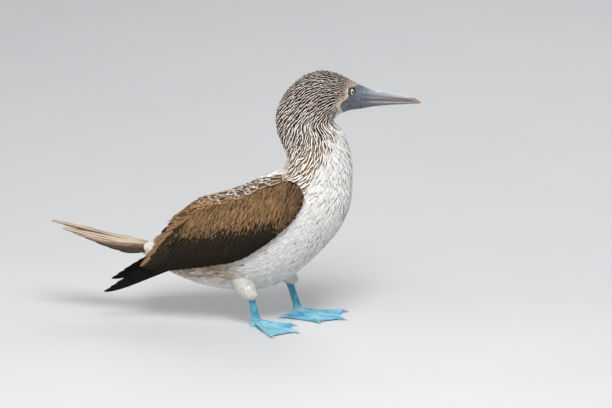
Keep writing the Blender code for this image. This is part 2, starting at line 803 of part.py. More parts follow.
def main():
    materials = {
        "head": paint("streaked_feathers", (0.42, 0.30, 0.22), 0.8),
        "white": paint("white_feathers", (0.80, 0.77, 0.72), 0.8),
        "wing": paint("brown_feathers", (0.16, 0.09, 0.05), 0.7),
        "flight": paint("dark_flight_feathers", (0.03, 0.024, 0.02), 0.6),
        "tail": paint("pale_tail_feathers", (0.66, 0.58, 0.47), 0.7),
        "bill": paint("grey_horn", (0.25, 0.29, 0.36), 0.4),
        "eye": paint("yellow_eye", (0.75, 0.76, 0.30), 0.1),
        "leg": paint("turquoise_leg_skin", (0.10, 0.45, 0.55), 0.55),
        "web": paint("blue_web_skin", (0.18, 0.55, 0.80), 0.55),
        "claw": paint("grey_claw", (0.45, 0.45, 0.45), 0.4),
    }
    body = make_body()
    whole = grown(body, 0)
    head, rest = part_in_two(body, flat_cutter(THROAT), "head", "neck", Vector((0, 0, 1)))
    neck, torso = part_in_two(rest, flat_cutter(NECK_BASE), "neck", "torso", Vector((1, 0, 1)))
    for piece, material in ((head, "head"), (neck, "head"), (torso, "white")):
        piece.data.materials.append(materials[material])
    make_eyes(head, whole, materials)
    groove_mouth(head, whole)
    make_bill(materials["bill"])
    wing = make_wing(materials)
    clear_of(wing, whole)
    mirrored(wing, "wing_left")
    primaries = make_primaries(materials)
    clear_of(primaries, whole)
    mirrored(primaries, "primaries_left")
    make_tail(whole, materials)
    for word, leg in LEGS.items():
        shank = make_leg(word, leg, materials)
        make_thigh(word, leg, whole, shank, materials)
        make_foot(word, leg, materials)
        make_claws(word, leg, materials)
    remove(whole)
    pieces = [piece for piece in parts.objects if piece.type == "MESH"]
    for piece in pieces:
        piece.data.shade_smooth()
        piece.data.set_sharp_from_angle(angle=math.radians(SHARP_ANGLE))
    stand_on_origin(pieces)


for old in list(bpy.data.objects):
    bpy.data.objects.remove(old)
WING_SMOOTH = blend_rows(WING_FORM, 4)
TAIL_SMOOTH = blend_rows(TAIL, 4)
parts = bpy.data.collections.new("blue_footed_booby")
bpy.context.scene.collection.children.link(parts)
main()
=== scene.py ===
"""A standing blue-footed booby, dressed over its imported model.

Sizes are in mm in the bird's own frame, where x runs to the bill, y to the left, and the middle plane
is y = 0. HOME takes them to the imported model's frame. A feather is laid on a surface that has two
coordinates of its own, q, and its colours come from three attributes: Core, Rim and Vane.
"""

import math

import bmesh
import bpy
import numpy as np
from bpy.props import FloatProperty, FloatVectorProperty, IntProperty, PointerProperty
from mathutils import Matrix, Vector, kdtree


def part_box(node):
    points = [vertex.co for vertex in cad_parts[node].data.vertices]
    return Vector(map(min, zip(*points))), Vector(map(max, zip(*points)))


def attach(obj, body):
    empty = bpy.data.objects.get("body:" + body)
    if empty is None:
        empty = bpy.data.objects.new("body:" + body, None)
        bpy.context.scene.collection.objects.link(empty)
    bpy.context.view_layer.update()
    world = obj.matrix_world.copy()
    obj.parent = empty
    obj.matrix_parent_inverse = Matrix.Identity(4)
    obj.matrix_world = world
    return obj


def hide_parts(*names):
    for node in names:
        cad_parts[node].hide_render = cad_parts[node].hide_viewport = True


bl_info = {
    "name": "Blue-footed Booby",
    "version": (1, 0, 0),
    "blender": (4, 5, 0),
    "location": "View3D > Sidebar > Booby",
    "description": "Skin, plumage, eyes, bill and feet of a standing blue-footed booby",
    "category": "Add Mesh",
}

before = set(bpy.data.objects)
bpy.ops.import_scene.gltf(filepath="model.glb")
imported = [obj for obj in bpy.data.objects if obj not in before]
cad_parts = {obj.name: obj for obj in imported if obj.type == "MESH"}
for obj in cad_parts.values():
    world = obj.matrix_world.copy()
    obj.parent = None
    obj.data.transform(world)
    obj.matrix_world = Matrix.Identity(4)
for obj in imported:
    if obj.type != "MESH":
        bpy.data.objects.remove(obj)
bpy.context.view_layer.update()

MM = 0.001
BILL_TIP = 307.5
EYE_MIDDLES = [sum(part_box("eye_" + word), Vector()) / 2 for word in ("right", "left")]
HOME = np.array([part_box("bill_upper")[1].x - BILL_TIP * MM, (EYE_MIDDLES[0].y + EYE_MIDDLES[1].y) / 2, 0.0])

# Flesh and small feathers from the rump to the face: the back's x and z, the belly's x and z, and
# half the width.
BODY = (
    (-149, 126, -146, 101, 15), (-131, 136, -126, 87, 28), (-96, 157, -96, 73, 43), (-64, 185, -59, 60, 54),
    (-26, 205, -16, 53, 61), (12, 221, 32, 53, 65), (44, 236, 82, 69, 66), (66, 250, 132, 110.5, 64),
    (81, 263, 172, 158, 59), (87, 278, 191, 201, 52), (83, 292, 195, 244, 45), (77, 305, 193, 284, 40),
    (71, 320, 181, 321, 36.5), (68, 337, 164, 340, 34.5), (69, 357, 166, 348, 34), (77, 379, 173, 355, 33.5),
    (91, 399, 181, 359, 32.5), (112, 417, 187, 362, 30.5), (137, 427, 193, 363.5, 27.5),
    (164, 424.8, 199, 364.5, 23.5), (187, 415.2, 205, 365.5, 18.5), (211, 404, 211, 366.5, 13.5),
)
FACE_ROW = 21

# Lower thighs, from the cuff up: height over the cuff, how far it is moved back, half length, half width.
THIGH = ((0, 3, 11, 10), (3.5, 4, 16, 14), (10, 6, 20, 18), (20, 8, 23, 21), (34, 8, 25, 23), (50, 6, 20, 18))
LEGS = {
    "right": {"side": -1, "joint": (39, -38), "top": (29, -37, 60), "cuff": 46, "heading": -32, "fuller": 0},
    "left": {"side": 1, "joint": (98, 38), "top": (80, 37, 70), "cuff": 56, "heading": -10, "fuller": 5},
}
FOOT_TOP = 15

# Surface that the folded right wing lies on, as upright half ellipses: x, middle z, half height, width.
WING_FORM = (
    (130, 208, 84, 58), (118, 200, 86, 66), (100, 185, 92, 72.5), (60, 158, 97, 76), (20, 140, 92, 75.5),
    (-20, 131, 85, 72), (-60, 124, 79, 65), (-88, 118, 67, 58), (-110, 111, 61, 54), (-150, 92, 57, 50),
    (-215, 55, 55, 49),
)
WING_TOP = (
    (124, 231), (113, 247), (92, 254), (60, 245), (20, 224), (-20, 209), (-60, 196), (-88, 175),
    (-110, 156), (-130, 131), (-149, 98),
)
WING_LOW = (
    (125, 227), (121, 211), (109, 192), (86, 168), (57, 147), (26, 123), (6, 111), (-25, 106),
    (-79, 96), (-114, 89), (-135, 87), (-148, 93),
)

# Long feathers of the right wing, lowest tier first: count, line of roots and line of tips in x and z,
# width, and lift off the wing at root and tip.
TIERS = {
    "primaries": (7, ((-84, 100), (-92, 112)),
                  ((-213, 49), (-194, 63), (-173, 77), (-150, 91)), 12, (-7.6, -6.9)),
    "secondaries": (18, ((84, 188), (22, 166), (-80, 140)),
                    ((46, 145), (11, 120), (-22, 110), (-79, 98), (-128, 88)), 15, (-2.0, -0.2)),
    "greater": (19, ((88, 187), (36, 178), (-60, 162)),
                ((64, 158), (22, 135), (-40, 119), (-114, 101)), 13, (-1.6, 0.5)),
    "median": (20, ((84, 196), (30, 188), (-60, 172)),
               ((66, 166), (20, 148), (-40, 137), (-104, 121)), 11, (-1.2, 0.6)),
    "tertials": (6, ((-40, 192), (-62, 176), (-86, 150)),
                 ((-108, 154), (-132, 124), (-150, 98)), 14, (-2.6, 1.4)),
    "rim": (5, ((-64, 190), (-86, 172), (-110, 151)), ((-106, 157), (-131, 127), (-151, 97)), 9, (-0.6, 2.2)),
}
LIGHT_COVERTS = (  # lower border of the wing's light feathers, x and z
    (-150, 130), (-88, 156), (-54, 157), (-24, 161), (16, 171), (60, 182), (90, 184), (112, 198), (130, 222),
)
COVERT_SLOPES = ((-110, 54), (-40, 68), (40, 80), (100, 74), (124, 58))  # degrees below level at x

# Tail's roof: x, z of its ridge, half the width and the drop of its edges.
TAIL = (
    (-143, 127, 15, 18), (-165, 131, 25, 22), (-200, 136, 27, 20), (-250, 147, 19, 15), (-285, 153.5, 11, 11),
    (-307, 156.5, 7, 8),
)
TAIL_ROOTS = ((-145, 2), (-144, 6), (-143, 10))
TAIL_TIPS = ((-307, 1.2), (-292, 8), (-258, 16), (-222, 23), (-190, 26))
TAIL_PAIRS = 7

# Front edge of the feathers round the bare face, as z and x, and of the streaked feathers on the neck.
BARE_FACE = (
    (355, 180), (360, 181), (364, 180), (369, 178), (375, 177), (379, 178), (383, 182), (388, 188),
    (392, 190.5), (402, 191.5), (405.5, 195), (407.5, 203), (409, 215),
)
STREAKED = (
    (228, 112), (238, 122), (251, 131), (267, 140), (283, 149), (298, 156), (326, 162), (350, 162),
    (357, 168), (362, 178), (366, 400),
)
FACE_FOOT = 352  # lowest z of the bare face
NECK_FOOT = 228  # lowest z of the streaked feathers
HEAD_STARTS = (300, 360)  # z between which the neck's coat thins to the head's
NAPE_SWEEP = 0.95  # how far the neck's side feathers turn back towards the nape
MOUTH = ((186, 381.6), (211, 382))  # corner of the mouth and the bill's base, x and z
BILL_GROOVE = ((200, 391), (232, 389), (262, 386.8), (290, 384.6))  # x and z

CAMERA_DISTANCE = 24.0
VIEW_WIDTH = 1.0098  # what the picture's width shows at the bird, in metres
LIGHTS = (  # place from the bird in metres, size and watts
    ("key", (0.5, -1.7, 2.3), 1.3, 78),
    ("fill", (-2.2, -1.6, 1.0), 1.8, 16),
    ("back", (0.4, 2.2, 2.0), 1.6, 24),
)
WORLD_LIGHT = 0.42

EYE_RADIUS = 7.2
EYE_LOOKS = 46  # degrees forward of straight sideways
EYE_RISES = 0.06
EYE_SHIFT = Vector((-1.0, 0, -0.6)) * MM  # from the middle of its node
LID_OPENING = 5.9
LID_NARROWER = 0.62  # width of the opening as a share of its height


class BoobySizes(bpy.types.PropertyGroup):
    """Sizes that a user of the bird would change."""

    coat_depth: FloatProperty(
        name="Coat depth", description="How far the skin lies under the body's outline",
        default=3.4 * MM, min=0, unit="LENGTH")
    head_depth: FloatProperty(
        name="Head coat depth", description="How far the skin lies under the head's outline",
        default=2.2 * MM, min=0, unit="LENGTH")
    skin_grain: FloatProperty(
        name="Skin grain", description="Size of the skin's mesh faces",
        default=1.55 * MM, min=MM, unit="LENGTH")
    closeness: FloatProperty(
        name="Closeness", description="Space between body feathers, as a share of their width",
        default=0.72, min=0.3, max=1.5, subtype="FACTOR")
    seed: IntProperty(name="Seed", description="Seed of the feathers' variation", default=7)


class BoobyColours(bpy.types.PropertyGroup):
    """Colours of plumage, skin and horn."""

    cream: FloatVectorProperty(
        name="Cream", description="Pale middles of the head's feathers", subtype="COLOR",
        size=3, min=0, max=1, default=(0.90, 0.83, 0.74))
    dark: FloatVectorProperty(
        name="Dark brown", description="Dark edges of the head's feathers", subtype="COLOR",
        size=3, min=0, max=1, default=(0.036, 0.012, 0.008))
    warm: FloatVectorProperty(
        name="Warm brown", description="Edges of the neck's feathers", subtype="COLOR",
        size=3, min=0, max=1, default=(0.15, 0.070, 0.028))
    white: FloatVectorProperty(
        name="White", description="Breast and belly", subtype="COLOR",
        size=3, min=0, max=1, default=(0.76, 0.745, 0.72))
    covert: FloatVectorProperty(
        name="Wing brown", description="Small feathers of the wing", subtype="COLOR",
        size=3, min=0, max=1, default=(0.200, 0.116, 0.054))
    flight: FloatVectorProperty(
        name="Flight brown", description="Long feathers of the wing", subtype="COLOR",
        size=3, min=0, max=1, default=(0.0095, 0.0068, 0.0038))
    rufous: FloatVectorProperty(
        name="Rufous", description="Edges of the rearmost wing feathers", subtype="COLOR",
        size=3, min=0, max=1, default=(0.24, 0.13, 0.058))
    tail: FloatVectorProperty(
        name="Tail brown", description="Edges of the tail's feathers", subtype="COLOR",
        size=3, min=0, max=1, default=(0.22, 0.13, 0.07))
    slate: FloatVectorProperty(
        name="Slate", description="Bare skin of the face", subtype="COLOR",
        size=3, min=0, max=1, default=(0.085, 0.098, 0.122))
    turquoise: FloatVectorProperty(
        name="Turquoise", description="Skin of the legs", subtype="COLOR",
        size=3, min=0, max=1, default=(0.085, 0.45, 0.56))
    web: FloatVectorProperty(
        name="Web blue", description="Toes and webs", subtype="COLOR",
        size=3, min=0, max=1, default=(0.27, 0.64, 0.76))


def sizes():
    return bpy.context.scene.booby_sizes


def colour(name):
    return np.array(getattr(bpy.context.scene.booby_colours, name)[:])


def seeded(step):
    """A random draw of its own for each piece."""
    return np.random.default_rng(sizes().seed * 100 + step)


# Surfaces

def smooth(rows, per_row=12):
    """A table with smooth steps put between its rows."""
    rows = np.array(rows, float)
    ends = np.vstack([rows[:1], rows, rows[-1:]])
    t = (np.arange(per_row) / per_row)[:, None]
    found = [
        0.5 * (2 * b + (c - a) * t + (2 * a - 5 * b + 4 * c - d) * t ** 2 + (3 * b - a - 3 * c + d) * t ** 3)
        for a, b, c, d in zip(ends, ends[1:], ends[2:], ends[3:])
    ]
    return np.vstack([*found, rows[-1:]])


def even_line(points, count):
    """A number of places spaced evenly on a smooth line through some points."""
    dense = smooth(points)
    reach = np.append(0, np.cumsum(np.linalg.norm(np.diff(dense, axis=0), axis=1)))
    want = np.linspace(0, reach[-1], count)
    return np.stack([np.interp(want, reach, dense[:, k]) for k in range(dense.shape[1])], axis=1)


def look_up(table, value):
    """The second number of a table's rows at a value of the first."""
    rows = np.array(sorted(table), float)
    return np.interp(value, rows[:, 0], rows[:, 1])


def unit(vectors):
    return vectors / np.maximum(np.linalg.norm(vectors, axis=-1, keepdims=True), 1e-9)


class Surface:
    """A surface with two coordinates, q, that grow so that their cross product points outwards.

    Each kind has at, its place at q, unwrap, that place laid flat from 0 to 1, and reach, the steps of q
    over which slopes are taken.
    """

    def slopes(self, q):
        found = []
        for k in range(2):
            step = np.zeros(2)
            step[k] = self.reach[k]
            found.append((self.at(q + step) - self.at(q - step)) / (2 * self.reach[k]))
        return found

    def tips(self, roots, first, second, length):
        """Where feathers end that run from their roots along first and second, shares of the two ways."""
        d0, d1 = self.slopes(roots)
        way = unit(unit(d0) * first[:, None] + unit(d1) * second[:, None])
        return roots + q_change(d0, d1, way * length[:, None])


def q_change(d0, d1, move):
    """The change of q that moves a point of a surface with slopes d0 and d1."""
    a, b, c = ((u * v).sum(-1) for u, v in ((d0, d0), (d0, d1), (d1, d1)))
    u, v = (d0 * move).sum(-1), (d1 * move).sum(-1)
    size = np.maximum(a * c - b * b, 1e-9)
    return np.stack([(c * u - b * v) / size, (a * v - b * u) / size], axis=-1)


class Tube(Surface):
    """Ovals through rows of a middle and two half axes. q is the angle and the row."""

    reach = (0.02, 0.06)

    def __init__(self, rows):
        self.rows = smooth(rows)
        self.last = len(rows) - 1

    def at(self, q):
        angle, row = q[..., 0], q[..., 1]
        inside = np.clip(row, 0, self.last)
        place = inside / self.last * (len(self.rows) - 1)
        near = np.clip(place.astype(int), 0, len(self.rows) - 2)
        low, high = self.rows[near], self.rows[near + 1]
        share = (place - near + (row - inside) / self.last * (len(self.rows) - 1))[..., None]
        found = low + (high - low) * share
        middle, up, out = found[..., :3], found[..., 3:6], found[..., 6:9]
        return middle + up * np.cos(angle)[..., None] + out * np.sin(angle)[..., None]

    def unwrap(self, q):
        return np.stack([np.mod(q[..., 0] / (2 * math.pi) + 0.5, 1), q[..., 1] / self.last], axis=-1)


def body_row(row):
    back, belly = np.array([row[0], 0, row[1]]), np.array([row[2], 0, row[3]])
    return np.concatenate([(back + belly) / 2, (back - belly) / 2, [0, -row[4], 0]])


def thigh_row(leg, row):
    up, back, fore, width = row
    top = np.array(leg["top"], float)
    foot = np.array([*leg["joint"], FOOT_TOP], float)
    lean = (top - foot) / (top[2] - foot[2])
    spot = top + lean * (leg["cuff"] + up - top[2]) - [back - leg["fuller"], leg["side"] * up * 0.12, 0]
    return np.concatenate([spot, [fore, 0, 0], [0, width, 0]])


class Wing(Surface):
    """The folded right wing's outside. q is x and the angle from the middle of its height."""

    reach = (1.0, 0.02)

    def __init__(self):
        self.rows = smooth(WING_FORM)[::-1]

    def form(self, x):
        return [np.interp(x, self.rows[:, 0], self.rows[:, k]) for k in (1, 2, 3)]

    def at(self, q):
        middle, half, width = self.form(q[..., 0])
        return np.stack([q[..., 0], -width * np.cos(q[..., 1]), middle + half * np.sin(q[..., 1])], axis=-1)

    def q_of(self, places):
        """q of places that are given by x and z."""
        places = np.asarray(places, float)
        middle, half, _ = self.form(places[..., 0])
        angle = np.arcsin(np.clip((places[..., 1] - middle) / half, -0.98, 0.98))
        return np.stack([places[..., 0], angle], axis=-1)

    def unwrap(self, q):
        return np.stack([(q[..., 0] + 230) / 370, q[..., 1] / math.pi + 0.5], axis=-1)


class Roof(Surface):
    """The tail's top. q is x and the share of half the width."""

    reach = (1.0, 0.04)

    def __init__(self):
        self.rows = smooth(TAIL)[::-1]

    def at(self, q):
        x, share = q[..., 0], q[..., 1]
        ridge, half, drop = (np.interp(x, self.rows[:, 0], self.rows[:, k]) for k in (1, 2, 3))
        fall = np.sqrt(share ** 2 + 0.03) - math.sqrt(0.03)
        slope = (x - np.clip(x, TAIL[-1][0], TAIL[0][0])) * -0.16
        return np.stack([x, half * share, ridge - drop * fall + slope], axis=-1)

    def q_of(self, places):
        """q of places that are given by x and y."""
        places = np.asarray(places, float)
        half = np.interp(places[..., 0], self.rows[:, 0], self.rows[:, 2])
        return np.stack([places[..., 0], places[..., 1] / half], axis=-1)

    def unwrap(self, q):
        return np.stack([(q[..., 0] + 320) / 200, q[..., 1] / 4 + 0.5], axis=-1)


class Mantle(Surface):
    """The back between the wings' upper edges. q is x and the share of half the width."""

    reach = (1.0, 0.04)

    def __init__(self, wing, rise):
        edge = wing.at(wing.q_of(even_line(WING_TOP, 60)))
        self.edge = edge[edge[:, 0].argsort()]
        self.rise = rise

    def at(self, q):
        x, share = q[..., 0], q[..., 1]
        half = -np.interp(x, self.edge[:, 0], self.edge[:, 1])
        top = np.interp(x, self.edge[:, 0], self.edge[:, 2])
        return np.stack([x, half * share, top + self.rise * (1 - share ** 2)], axis=-1)

    def unwrap(self, q):
        return np.stack([(q[..., 0] + 150) / 260, q[..., 1] / 3 + 0.5], axis=-1)


BODY_SURFACE = Tube([body_row(row) for row in BODY])
THIGH_SURFACES = {word: Tube([thigh_row(leg, row) for row in THIGH]) for word, leg in LEGS.items()}
WING_SURFACE = Wing()
TAIL_SURFACE = Roof()
MANTLE_SURFACE = Mantle(WING_SURFACE, rise=6.0)


def q_grid(first, last, side, rows, columns):
    """A grid of q on the mantle or the tail, from the first x to the last and as far to both sides."""
    ways = np.linspace(first, last, rows), np.linspace(-side, side, columns)
    return np.stack(np.meshgrid(*ways, indexing="ij"), axis=-1)


# Feathers

DRAWS = 240000  # places tried on a surface
BAKE_PATCH = 0.003  # a feather's size in the map that its colours are baked to
SHARP_RIM = 85  # degrees between faces past which a feather's rim stays sharp


def scatter(surface, low, high, spacing, keep, random, lie=(0.0, -1.0)):
    """Even random places, as q, between two corners of a surface.

    spacing gives the least gap beside and along the feathers' lie, whose shares of the two ways are lie.
    """
    low, high = np.array(low, float), np.array(high, float)
    draws = low + random.random((DRAWS, 2)) * (high - low)
    spots = surface.at(draws)
    inside = keep(draws, spots)
    draws, spots = draws[inside], spots[inside]
    d0, d1 = surface.slopes(draws)
    beside, ahead = (np.broadcast_to(gap, len(draws)) for gap in spacing(draws, spots))
    weight = np.linalg.norm(np.cross(d0, d1), axis=1) / (beside * ahead)
    cell = (high - low).prod() / DRAWS
    wanted = int(min(len(draws), 7 * weight.sum() * cell))
    chosen = random.choice(len(draws), wanted, replace=False, p=weight / weight.sum())
    draws, spots, beside, ahead = draws[chosen], spots[chosen], beside[chosen], ahead[chosen]
    way = unit(unit(d0[chosen]) * lie[0] + unit(d1[chosen]) * lie[1])
    tree = kdtree.KDTree(wanted)
    for number, spot in enumerate(spots):
        tree.insert(spot, number)
    tree.balance()
    free = np.ones(wanted, bool)
    kept = []
    for number in range(wanted):
        if free[number]:
            kept.append(number)
            near = np.array([other for _, other, _ in tree.find_range(spots[number], ahead[number])])
            gap = spots[near] - spots[number]
            along = gap @ way[number]
            across = (gap ** 2).sum(1) - along ** 2
            free[near[(along / ahead[number]) ** 2 + across / beside[number] ** 2 < 1]] = False
    return draws[kept]


class Plume:
    """The build of a kind of feather: places along it, shares of its width there, and columns across."""

    def __init__(self, widths, columns=3, camber=0.12, bow=0.0):
        self.along = np.array([t for t, _ in widths])
        self.widths = np.array([w for _, w in widths])
        self.across = np.linspace(-1, 1, columns)
        self.camber = camber  # height of the middle over the edges, as a share of the width
        self.bow = bow  # sideways bend, as a share of the length


HACKLE = Plume(((0, 0.5), (0.3, 0.95), (0.62, 0.8), (0.85, 0.42)), camber=0.16)
DOWN = Plume(((0, 0.5), (0.35, 1.0), (0.7, 0.85), (0.9, 0.45)), camber=0.05)
SCALE = Plume(((0, 0.5), (0.3, 0.9), (0.6, 1.0), (0.82, 0.86), (0.94, 0.52)), columns=5, camber=0.08)
QUILL = Plume(((0, 0.55), (0.12, 0.8), (0.28, 0.94), (0.45, 1.0), (0.6, 1.0), (0.72, 0.97), (0.82, 0.88),
               (0.9, 0.72), (0.96, 0.46), (0.99, 0.2)), columns=7, camber=0.05, bow=0.05)
RECTRIX = Plume(((0, 0.5), (0.15, 0.85), (0.35, 1.0), (0.6, 1.0), (0.75, 0.86), (0.86, 0.66), (0.94, 0.42),
                 (0.985, 0.18)), columns=7, camber=0.06, bow=0.02)


class Coat:
    """Feathers gathered for one mesh."""

    def __init__(self):
        self.points, self.faces, self.vane, self.core, self.rim, self.bake = ([] for _ in range(6))
        self.total = 0

    def add(self, points, faces, vane, core, rim, bake):
        self.faces.append(faces + self.total)
        self.total += len(points)
        for store, found in ((self.points, points), (self.vane, vane), (self.core, core),
                             (self.rim, rim), (self.bake, bake)):
            store.append(found)

    def lay(self, surface, roots, tips, plume, width, lifts, core, rim, random,
            tilt=0.0, flip=None, bold=1.0):
        """Feathers from root to tip on a surface. Widths, lifts and colours are given for each of them.

        tilt raises one edge over the other, flip turns the feathers over to the other side, and a bold
        above 1 makes a feather's rim wider.
        """
        count, rows, columns = len(roots), len(plume.along), len(plume.across)
        t = plume.along[None, :, None]
        q = roots[:, None, :] + (tips - roots)[:, None, :] * t
        d0, d1 = surface.slopes(q)
        normal = unit(np.cross(d0, d1))
        line = unit(d0 * (tips - roots)[:, None, :1] + d1 * (tips - roots)[:, None, 1:])
        side = np.cross(normal, line)
        side_way = np.ones((count, 1)) if flip is None else flip[:, None]
        sideways = q_change(d0, d1, side)
        span = np.linalg.norm(surface.at(tips) - surface.at(roots), axis=1)
        bend = plume.bow * span[:, None] * 4 * plume.along * (1 - plume.along) * side_way
        reach = bend[:, :, None] + plume.across * (plume.widths[:, None] * width[:, None, None] / 2)
        grid = surface.at(q[:, :, None, :] + sideways[:, :, None, :] * reach[..., None])
        rise = lifts[0][:, None] + (lifts[1] - lifts[0])[:, None] * plume.along ** 1.3
        vault = plume.camber * width[:, None, None] * (1 - plume.across ** 2) * plume.widths[:, None]
        height = rise[:, :, None] + vault + tilt * plume.across * side_way[:, :, None]
        grid = grid + normal[:, :, None, :] * height[..., None]
        d0, d1 = surface.slopes(tips)
        end = surface.at(tips + sideways[:, -1] * (bend[:, -1:] * 0.3))
        end = end + unit(np.cross(d0, d1)) * lifts[1][:, None]
        points = np.concatenate([grid.reshape(count, -1, 3), end[:, None, :]], axis=1)
        across = np.tile(plume.across, rows)
        along = np.repeat(plume.along, columns)
        vane = np.zeros((count, rows * columns + 1, 3))
        vane[:, :-1, 0] = across * np.broadcast_to(bold, count)[:, None]
        vane[:, :-1, 1], vane[:, -1, 1] = along, 1
        vane[:, :, 2] = random.random((count, 1))
        patch = np.stack([np.append(across, 0) / 2, np.append(along, 1) - 0.5], axis=-1) * BAKE_PATCH
        bake = surface.unwrap(roots)[:, None, :] + patch
        each = rows * columns + 1
        faces = one_feather(rows, columns)[None] + (np.arange(count) * each)[:, None, None]
        core, rim = (np.repeat(np.broadcast_to(c, (count, 3))[:, None, :], each, axis=1) for c in (core, rim))
        self.add(points.reshape(-1, 3), faces.reshape(-1, 3), vane.reshape(-1, 3), core.reshape(-1, 3),
                 rim.reshape(-1, 3), bake.reshape(-1, 2))

    def add_plate(self, surface, grid, lifts, tint):
        """A closed plate on a surface from a grid of q, between two lifts."""
        rows, columns = grid.shape[:2]
        d0, d1 = surface.slopes(grid)
        normal = unit(np.cross(d0, d1))
        spots = surface.at(grid)
        levels = [spots + normal * np.asarray(lift)[..., None] for lift in lifts]
        points = np.concatenate([level.reshape(-1, 3) for level in levels])
        faces = plate_faces(rows, columns)
        face_way = np.cross(spots[1, 0] - spots[0, 0], spots[0, 1] - spots[0, 0]) @ normal[0, 0]
        if face_way < 0:
            faces = faces[:, ::-1]
        vane = np.zeros((len(points), 3))
        vane[:, 1] = 0.5
        flat = surface.unwrap(grid).reshape(-1, 2)
        tint = np.broadcast_to(tint, (len(points), 3))
        self.add(points, faces, vane, tint, tint, np.concatenate([flat, flat]))

    def build(self, name, material, slot, nodes=(), mirror=False):
        """Makes the mesh object, on the right side as laid or mirrored to the left."""
        points, faces = np.concatenate(self.points), np.concatenate(self.faces)
        if mirror:
            points, faces = points * [1, -1, 1], faces[:, ::-1]
        mesh = bpy.data.meshes.new(name)
        mesh.from_pydata(points * MM + HOME, [], faces)
        write_value(mesh, "Core", np.concatenate(self.core))
        write_value(mesh, "Rim", np.concatenate(self.rim))
        layer = mesh.attributes.new("Vane", "FLOAT_VECTOR", "POINT")
        layer.data.foreach_set("vector", np.concatenate(self.vane).astype(np.float32).ravel())
        flat = mesh.uv_layers.new(name="OFBake")
        corners = np.zeros(len(mesh.loops), np.int32)
        mesh.loops.foreach_get("vertex_index", corners)
        flat.data.foreach_set("uv", np.concatenate(self.bake)[corners].astype(np.float32).ravel())
        mesh.shade_smooth()
        mesh.set_sharp_from_angle(angle=math.radians(SHARP_RIM))
        piece = bpy.data.objects.new(name, mesh)
        bpy.context.scene.collection.objects.link(piece)
        finish_piece(piece, material, nodes)


def one_feather(rows, columns):
    """Triangles of a feather: its top, its flat underside, its root's end and its tip."""
    found = []
    last = columns - 1
    for k in range(rows - 1):
        a, b = k * columns, (k + 1) * columns
        for j in range(last):
            found += [(a + j, b + j, b + j + 1), (a + j, b + j + 1, a + j + 1)]
        found += [(a, a + last, b + last), (a, b + last, b)]
    tip, end = rows * columns, (rows - 1) * columns
    found += [(end + j, tip, end + j + 1) for j in range(last)]
    found.append((end, end + last, tip))
    found += [(0, j, j + 1) for j in range(1, last)]
    return np.array(found)


def plate_faces(rows, columns):
    """Triangles of a closed plate between two like grids, the outer grid first."""
    size = rows * columns
    found = []
    for i in range(rows - 1):
        for j in range(columns - 1):
            a, b = i * columns + j, (i + 1) * columns + j
            found += [(a, b, b + 1), (a, b + 1, a + 1)]
            found += [(a + size, b + 1 + size, b + size), (a + size, a + 1 + size, b + 1 + size)]
    rim = [i * columns for i in range(rows)] + [(rows - 1) * columns + j for j in range(1, columns)]
    rim += [i * columns + columns - 1 for i in range(rows - 2, -1, -1)] + list(range(columns - 2, 0, -1))
    for a, b in zip(rim, rim[1:] + rim[:1]):
        found += [(b, a, a + size), (b, a + size, b + size)]
    return np.array(found)


def varied(tint, count, spread, random):
    """A colour for each feather, a little lighter or darker."""
    return np.clip(np.asarray(tint) * (1 + spread * random.standard_normal((count, 1))), 0.002, 0.95)


def blend(a, b, share):
    return np.asarray(a) + (np.asarray(b) - np.asarray(a)) * np.asarray(share)[..., None]


def ramp(value, low, high):
    t = np.clip((value - low) / (high - low), 0, 1)
    return t * t * (3 - 2 * t)


# Materials

